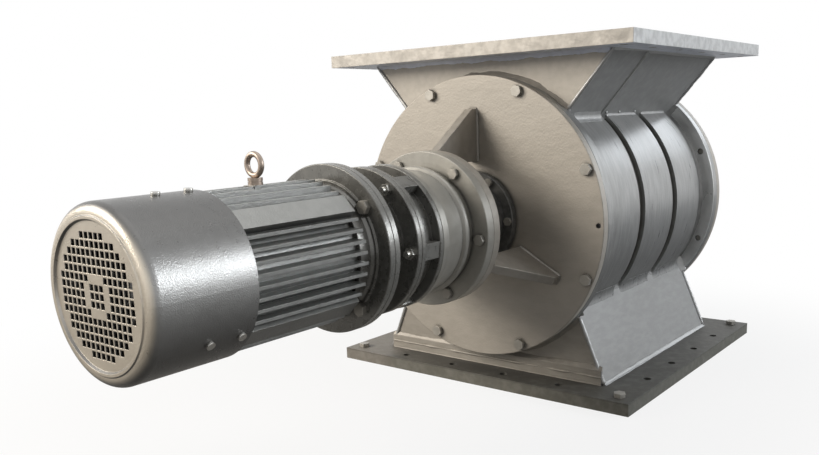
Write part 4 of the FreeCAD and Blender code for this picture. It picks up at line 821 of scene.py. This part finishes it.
class WeldChutes(bpy.types.Operator):
    """Lay the welds of both chutes"""
    bl_idname = "valve.weld_chutes"
    bl_label = "Weld Chutes"

    def execute(self, context):
        paints, shape, welds = scene_values(context)
        silver, old = paints.silver, paints.shade
        seam = aluminium_paint("end_seam_paint", shade_of(paints.cover, 0.8), old, rough=0.5,
                               lumps=0.0008)
        # Welds under the inlet flange take its light blue underside tone, a painted cool light.
        lit_underside_seam = aluminium_paint("shaded_seam_paint", paints.under, old)
        side_seam = aluminium_paint("side_seam_paint", shade_of(silver, 1.1), old, 0.3, 0.34,
                                    gloss=0.8)
        # Outlet chute's low welds: darker where they face down, a painted shade.
        low_seam = aluminium_paint("low_seam_paint", shade_of(silver, 0.95), old, 0.3, 0.3,
                                   gloss=0.8, down=shade_of(silver, 0.3))
        for port, foot_seam, barrel_seam in (("inlet", lit_underside_seam, side_seam),
                                             ("outlet", seam, low_seam)):
            chute = Chute(shape, port)
            for end, sign in ENDS:
                inset, out, leg = 0, 0, welds.flange_leg
                if (port, end) == ("outlet", "front"):
                    inset, out, leg = shape.sill_inset, shape.sill_proud, leg * THIN_WELD
                weld_fillet(f"{port}_ring_weld_{end}", chute.end_rows(sign, welds.ring_leg), seam,
                            0.1, 0.35)
                weld_fillet(f"{port}_foot_weld_{end}", chute.end_foot_rows(sign, leg, inset, out),
                            foot_seam, uneven=0.25)
            for name, side in SIDES:
                weld_fillet(f"{port}_weld_{name}", chute.barrel_rows(side, welds.panel_leg),
                            barrel_seam, 0.4, 0.08)
                weld_fillet(f"{port}_foot_weld_{name}",
                            chute.side_foot_rows(side, welds.flange_leg * SLIM_WELD), side_seam)
                for end, sign in ENDS:
                    weld_fillet(f"{port}_patch_{end}_{name}",
                                chute.ring_rows(side, sign, welds.panel_leg * SLIM_WELD),
                                side_seam, 0, 0.25)
                    edge = [chute.edge_point(side, sign * -CHUTE_FRONT, radius)
                            for radius in (END_RADIUS, None)]
                    weld_bead(f"{port}_corner_{end}_{name}", edge, welds.corner_bead, side_seam)
        self.weld_strips(Chute(shape, "inlet"), welds, side_seam)
        self.weld_tacks(Chute(shape, "inlet"), welds, side_seam)
        self.weld_sill(Chute(shape, "outlet"), welds, seam)
        return {"FINISHED"}

    def weld_strips(self, chute, welds, seam):
        """Weld and bead along the inner edge of the inlet chute's proud strips."""
        shape = chute.shape
        for name, side in SIDES:
            start, end = (chute.edge_point(side, -shape.strip_edge, radius)
                          for radius in (shape.band_radius, None))
            proud = chute.off_panel(side) * shape.strip_proud
            rows = straight_rows(start, end, Vector((0, welds.flange_leg, 0)), proud)
            weld_fillet(f"strip_weld_{name}", rows, seam, uneven=0.3)
            on_strip = Vector((0, -welds.corner_bead, 0)) + proud
            weld_bead(f"strip_bead_{name}", [start + on_strip, end + on_strip],
                      welds.corner_bead * 0.8, seam, 0.3)

    def weld_tacks(self, chute, welds, seam):
        """Tacks along the right-hand weld of the inlet chute."""
        for number, station in enumerate(TACKS):
            start = (chute.edge_point(1, station, chute.shape.band_radius)
                     + chute.along_panel(1) * welds.ring_leg)
            weld_bead(f"tack_{number}", [start, start + Vector((0, welds.flange_leg, 0))],
                      welds.corner_bead * 0.8, seam, 0.1)

    def weld_sill(self, chute, welds, seam):
        """Rough welds over and along the sill of the outlet chute."""
        shape = chute.shape
        half = shape.outlet_half - shape.sill_inset
        top = chute.face - shape.sill_tall
        ends = [chute.point(side * half, CHUTE_FRONT, top) for side in (-1, 1)]
        rows = straight_rows(*ends, Vector((0, 0, welds.flange_leg)),
                             Vector((0, -shape.sill_proud, 0)))
        weld_fillet("sill_weld_top", rows, seam, 0, 0.4)
        low = Vector((0, -shape.sill_proud, -shape.sill_tall * 0.45))
        weld_bead("sill_weld_middle", [end + low for end in ends], welds.corner_bead * 0.5, seam,
                  0.9)


class WeldBarrel(bpy.types.Operator):
    """Lay the welds between the barrel's shell and its end rings"""
    bl_idname = "valve.weld_barrel"
    bl_label = "Weld Barrel"

    def execute(self, context):
        paints, shape, welds = scene_values(context)
        seam = aluminium_paint("ring_seam_paint", paints.silver, paints.shade, 0.3, 0.4)
        inlet, outlet = (Chute(shape, port).meets(shape.shell_radius, 0)
                         for port in ("inlet", "outlet"))
        start = math.atan2(*inlet)
        end = math.pi - math.atan2(*outlet)
        leg = welds.ring_leg
        for name, station, inwards in (("front", CHUTE_FRONT, 1), ("rear", -CHUTE_FRONT, -1)):
            for side, sign in reversed(SIDES):
                rows = radial_rows(shape.shell_radius, station, sign * start, sign * end, leg,
                                   inwards * leg)
                weld_fillet(f"ring_weld_{name}_{side}", rows, seam)
        return {"FINISHED"}


class WeldBracket(bpy.types.Operator):
    """Lay the welds of the bracket's gussets on the cover and on the ring"""
    bl_idname = "valve.weld_bracket"
    bl_label = "Weld Bracket"

    def execute(self, context):
        paints, shape, welds = scene_values(context)
        seam = aluminium_paint("gusset_seam_paint", shade_of(paints.cover, 0.72), paints.shade)
        ring_low, ring_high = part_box("bracket_ring")
        ring_radius = (ring_high.x - ring_low.x) / 2
        seats = (("cover", COVER_LOW.y, shape.gusset_root, -1),
                 ("ring", ring_high.y, ring_radius, 1))
        leg = welds.gusset_leg
        for number, turn in enumerate(map(math.radians, GUSSET_TURNS)):
            outward = Vector((math.cos(turn), 0, math.sin(turn)))
            sideways = Vector((-math.sin(turn), 0, math.cos(turn)))
            half = sideways * shape.gusset_thick / 2
            for seat, station, reach, off in seats:
                middle = Vector((0, station, AXIS_HEIGHT))
                rise = Vector((0, off * leg, 0))
                for side, sign in (("a", 1), ("b", -1)):
                    start, end = (middle + outward * radius + half * sign
                                  for radius in (shape.gusset_inner, reach))
                    rows = straight_rows(start, end, rise, sideways * sign * leg)
                    weld_fillet(f"gusset_weld_{seat}_{number}{side}", rows, seam, 0.1, 0.2)
                if seat == "cover":
                    root = middle + outward * reach
                    rows = straight_rows(root - half, root + half, rise, outward * leg)
                    weld_fillet(f"gusset_root_weld_{number}", rows, seam, 0.1)
        return {"FINISHED"}


class LapCowl(bpy.types.Operator):
    """Lap the end of the fan cowl's rolled sheet over its start, on the left-hand side"""
    bl_idname = "valve.lap_cowl"
    bl_label = "Lap Cowl"

    def execute(self, context):
        thick = context.scene.valve_welds.lap_thick
        low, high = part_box("fan_cowl")
        radius = (high.x - low.x) / 2
        start, end = low.y + LAP_FROM_FACE, high.y - LAP_FROM_FACE / 2
        rings = []
        for step in range(LAP_STEPS + 1):
            turn = math.radians(LAP_TOP + (LAP_FOOT - LAP_TOP) * step / LAP_STEPS)
            away = Vector((math.cos(turn), 0, math.sin(turn)))
            proud = thick * (1 - step / (LAP_STEPS + 1))
            corners = (start, LAP_SUNK), (start, proud), (end, proud), (end, LAP_SUNK)
            rings.append([Vector((0, station, AXIS_HEIGHT)) + away * (radius + lift)
                          for station, lift in corners])
        skin("cowl_lap", rings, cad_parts["fan_cowl"].data.materials[0])
        return {"FINISHED"}


class RoundEdges(bpy.types.Operator):
    """Round the edges of the gussets, the terminal box and the bolt heads"""
    bl_idname = "valve.round_edges"
    bl_label = "Round Edges"

    def execute(self, context):
        edge = context.scene.valve_welds.edge
        round_edges(edge, "bracket_gussets", "terminal_box", "terminal_box_lid")
        round_edges(edge / 2, "cover_bolts", "outlet_corner_bolts", "bearing_housing_bolts",
                    "reducer_mount_bolts", "motor_flange_bolts", "reducer_stage_studs",
                    "cowl_screws")
        return {"FINISHED"}


class LayStage(bpy.types.Operator):
    """Lay the floor, light the studio and set the camera up"""
    bl_idname = "valve.lay_stage"
    bl_label = "Lay Stage"

    def execute(self, context):
        studio = context.scene.valve_studio
        lay_floor(studio)
        light_studio(context.scene, studio)
        set_camera(context.scene, studio)
        context.scene.view_settings.view_transform = "Standard"
        return {"FINISHED"}


def seen_ways(finish):
    """1 for camera rays, and 1 for rays that metal and glass send on, each else 0."""
    camera, glossy, through = (finish.node("ShaderNodeLightPath", output=f"Is {kind} Ray")
                               for kind in ("Camera", "Glossy", "Transmission"))
    return camera, finish.node("ShaderNodeMath", {"operation": "MAXIMUM"}, {0: glossy, 1: through})


def lay_floor(studio):
    """Plain pale floor that keeps the valve's shadow and fades to white away from it."""
    half = studio.floor_size / 2
    mesh = bmesh.new()
    corners = [mesh.verts.new((x * half, y * half, 0))
               for x, y in ((-1, -1), (1, -1), (1, 1), (-1, 1))]
    mesh.faces.new(corners)
    finish = Finish("floor_paper")
    camera, mirrored = seen_ways(finish)
    finish.set(Base_Color=finish.mix(camera, studio.floor, studio.paper), Roughness=0.9)
    glow = finish.node("ShaderNodeEmission", values={"Color": (1, 1, 1, 1), "Strength": 1})
    away = finish.vectors("LENGTH", finish.place(), output="Value")
    white = away.over(*FLOOR_FADE) * (1 - studio.floor_white) + studio.floor_white
    blend = finish.node("ShaderNodeMixShader",
                        values={0: camera * white + mirrored * away.over(*MIRRORED_FADE),
                                1: Wire(finish, finish.shader.outputs[0]), 2: glow})
    output = next(node for node in finish.tree.nodes if node.type == "OUTPUT_MATERIAL")
    finish.feed(output.inputs["Surface"], blend)
    floor = object_of("floor", mesh, finish.material)
    floor.location = ((CAD_LOW + CAD_HIGH) / 2).to_2d().to_3d()
    floor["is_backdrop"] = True


def aim(item, place, target, roll=0.0):
    """Stand a lamp or the camera at a place, pointed at a target."""
    away = (Vector(place) - Vector(target)).normalized()
    item.location = place
    item.rotation_mode = "QUATERNION"
    turned = Matrix.Rotation(roll, 3, "Z").to_quaternion()
    item.rotation_quaternion = away.to_track_quat("Z", "Y") @ turned


def area_lamp(name, power, tint, wide, tall, place):
    """Soft rectangular lamp that points at the valve."""
    lamp = bpy.data.lights.new(name, "AREA")
    lamp.shape = "RECTANGLE"
    lamp.size = wide
    lamp.size_y = tall
    lamp.energy = power
    lamp.color = tint
    made = bpy.data.objects.new(name, lamp)
    made.visible_camera = False
    bpy.context.scene.collection.objects.link(made)
    aim(made, place, LAMP_TARGET)


def light_studio(scene, studio):
    """Warm lamp at the front left, cool ones right and behind, one overhead and a faint sky."""
    for name, looks in LAMPS.items():
        area_lamp(f"{name}_lamp", getattr(studio, name), *looks)
    world = bpy.data.worlds.new("studio")
    world.use_nodes = True
    scene.world = world
    finish = Finish.of_world(world)
    camera, mirrored = seen_ways(finish)
    finish.set(Strength=(camera + mirrored) * (1 - studio.sky) + studio.sky, Color=(1, 1, 1, 1))


def set_camera(scene, studio):
    """Camera at the photograph's place and angle."""
    lens = bpy.data.cameras.new("camera")
    lens.sensor_width = SENSOR_WIDE
    lens.lens = studio.focal_pixels * SENSOR_WIDE / PHOTO_WIDE
    lens.shift_x = (PHOTO_WIDE / 2 - studio.centre_pixels[0]) / PHOTO_WIDE
    lens.shift_y = (studio.centre_pixels[1] - PHOTO_TALL / 2) / PHOTO_WIDE
    lens.clip_end = 100
    camera = bpy.data.objects.new("camera", lens)
    scene.collection.objects.link(camera)
    across, up = math.cos(studio.elevation), math.sin(studio.elevation)
    back = Vector((math.sin(studio.azimuth) * across, -math.cos(studio.azimuth) * across, up))
    stand = Vector(studio.camera)
    aim(camera, stand, stand - back, studio.roll)
    scene.camera = camera


class ValvePanel(bpy.types.Panel):
    """Sizes, colours and steps of the valve"""
    bl_idname = "VIEW3D_PT_valve"
    bl_label = "Rotary Airlock Valve"
    bl_space_type = "VIEW_3D"
    bl_region_type = "UI"
    bl_category = "Valve"

    def draw(self, context):
        for group in GROUPS:
            box = self.layout.box()
            values = getattr(context.scene, group)
            for name in values.bl_rna.properties.keys():
                if name not in ("rna_type", "name"):
                    box.prop(values, name)
        for step in STEPS:
            self.layout.operator(step.bl_idname)


STEPS = (LayStage, PaintBody, PaintEnds, PaintDrive, FinishInside, WeldChutes, WeldBarrel,
         WeldBracket, LapCowl, RoundEdges)
GROUPS = {"valve_paints": PaintProperties, "valve_shape": ShapeProperties,
          "valve_welds": WeldProperties, "valve_studio": StudioProperties}


def register():
    """Add the properties, operators and panel."""
    for item in (*GROUPS.values(), *STEPS, ValvePanel):
        bpy.utils.register_class(item)
    for name, group in GROUPS.items():
        setattr(bpy.types.Scene, name, PointerProperty(type=group))


def unregister():
    """Take the properties, operators and panel away."""
    for name in GROUPS:
        delattr(bpy.types.Scene, name)
    for item in reversed((*GROUPS.values(), *STEPS, ValvePanel)):
        bpy.utils.unregister_class(item)


def main():
    """Build the looks step by step and work out the two boxes."""
    register()
    for step in STEPS:
        group, action = step.bl_idname.split(".")
        getattr(getattr(bpy.ops, group), action)()
    boxes = {"cad": (CAD_LOW, CAD_HIGH), "visual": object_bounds()}
    {name: [list(corner) for corner in pair] for name, pair in boxes.items()}


if __name__ == "__main__":
    main()
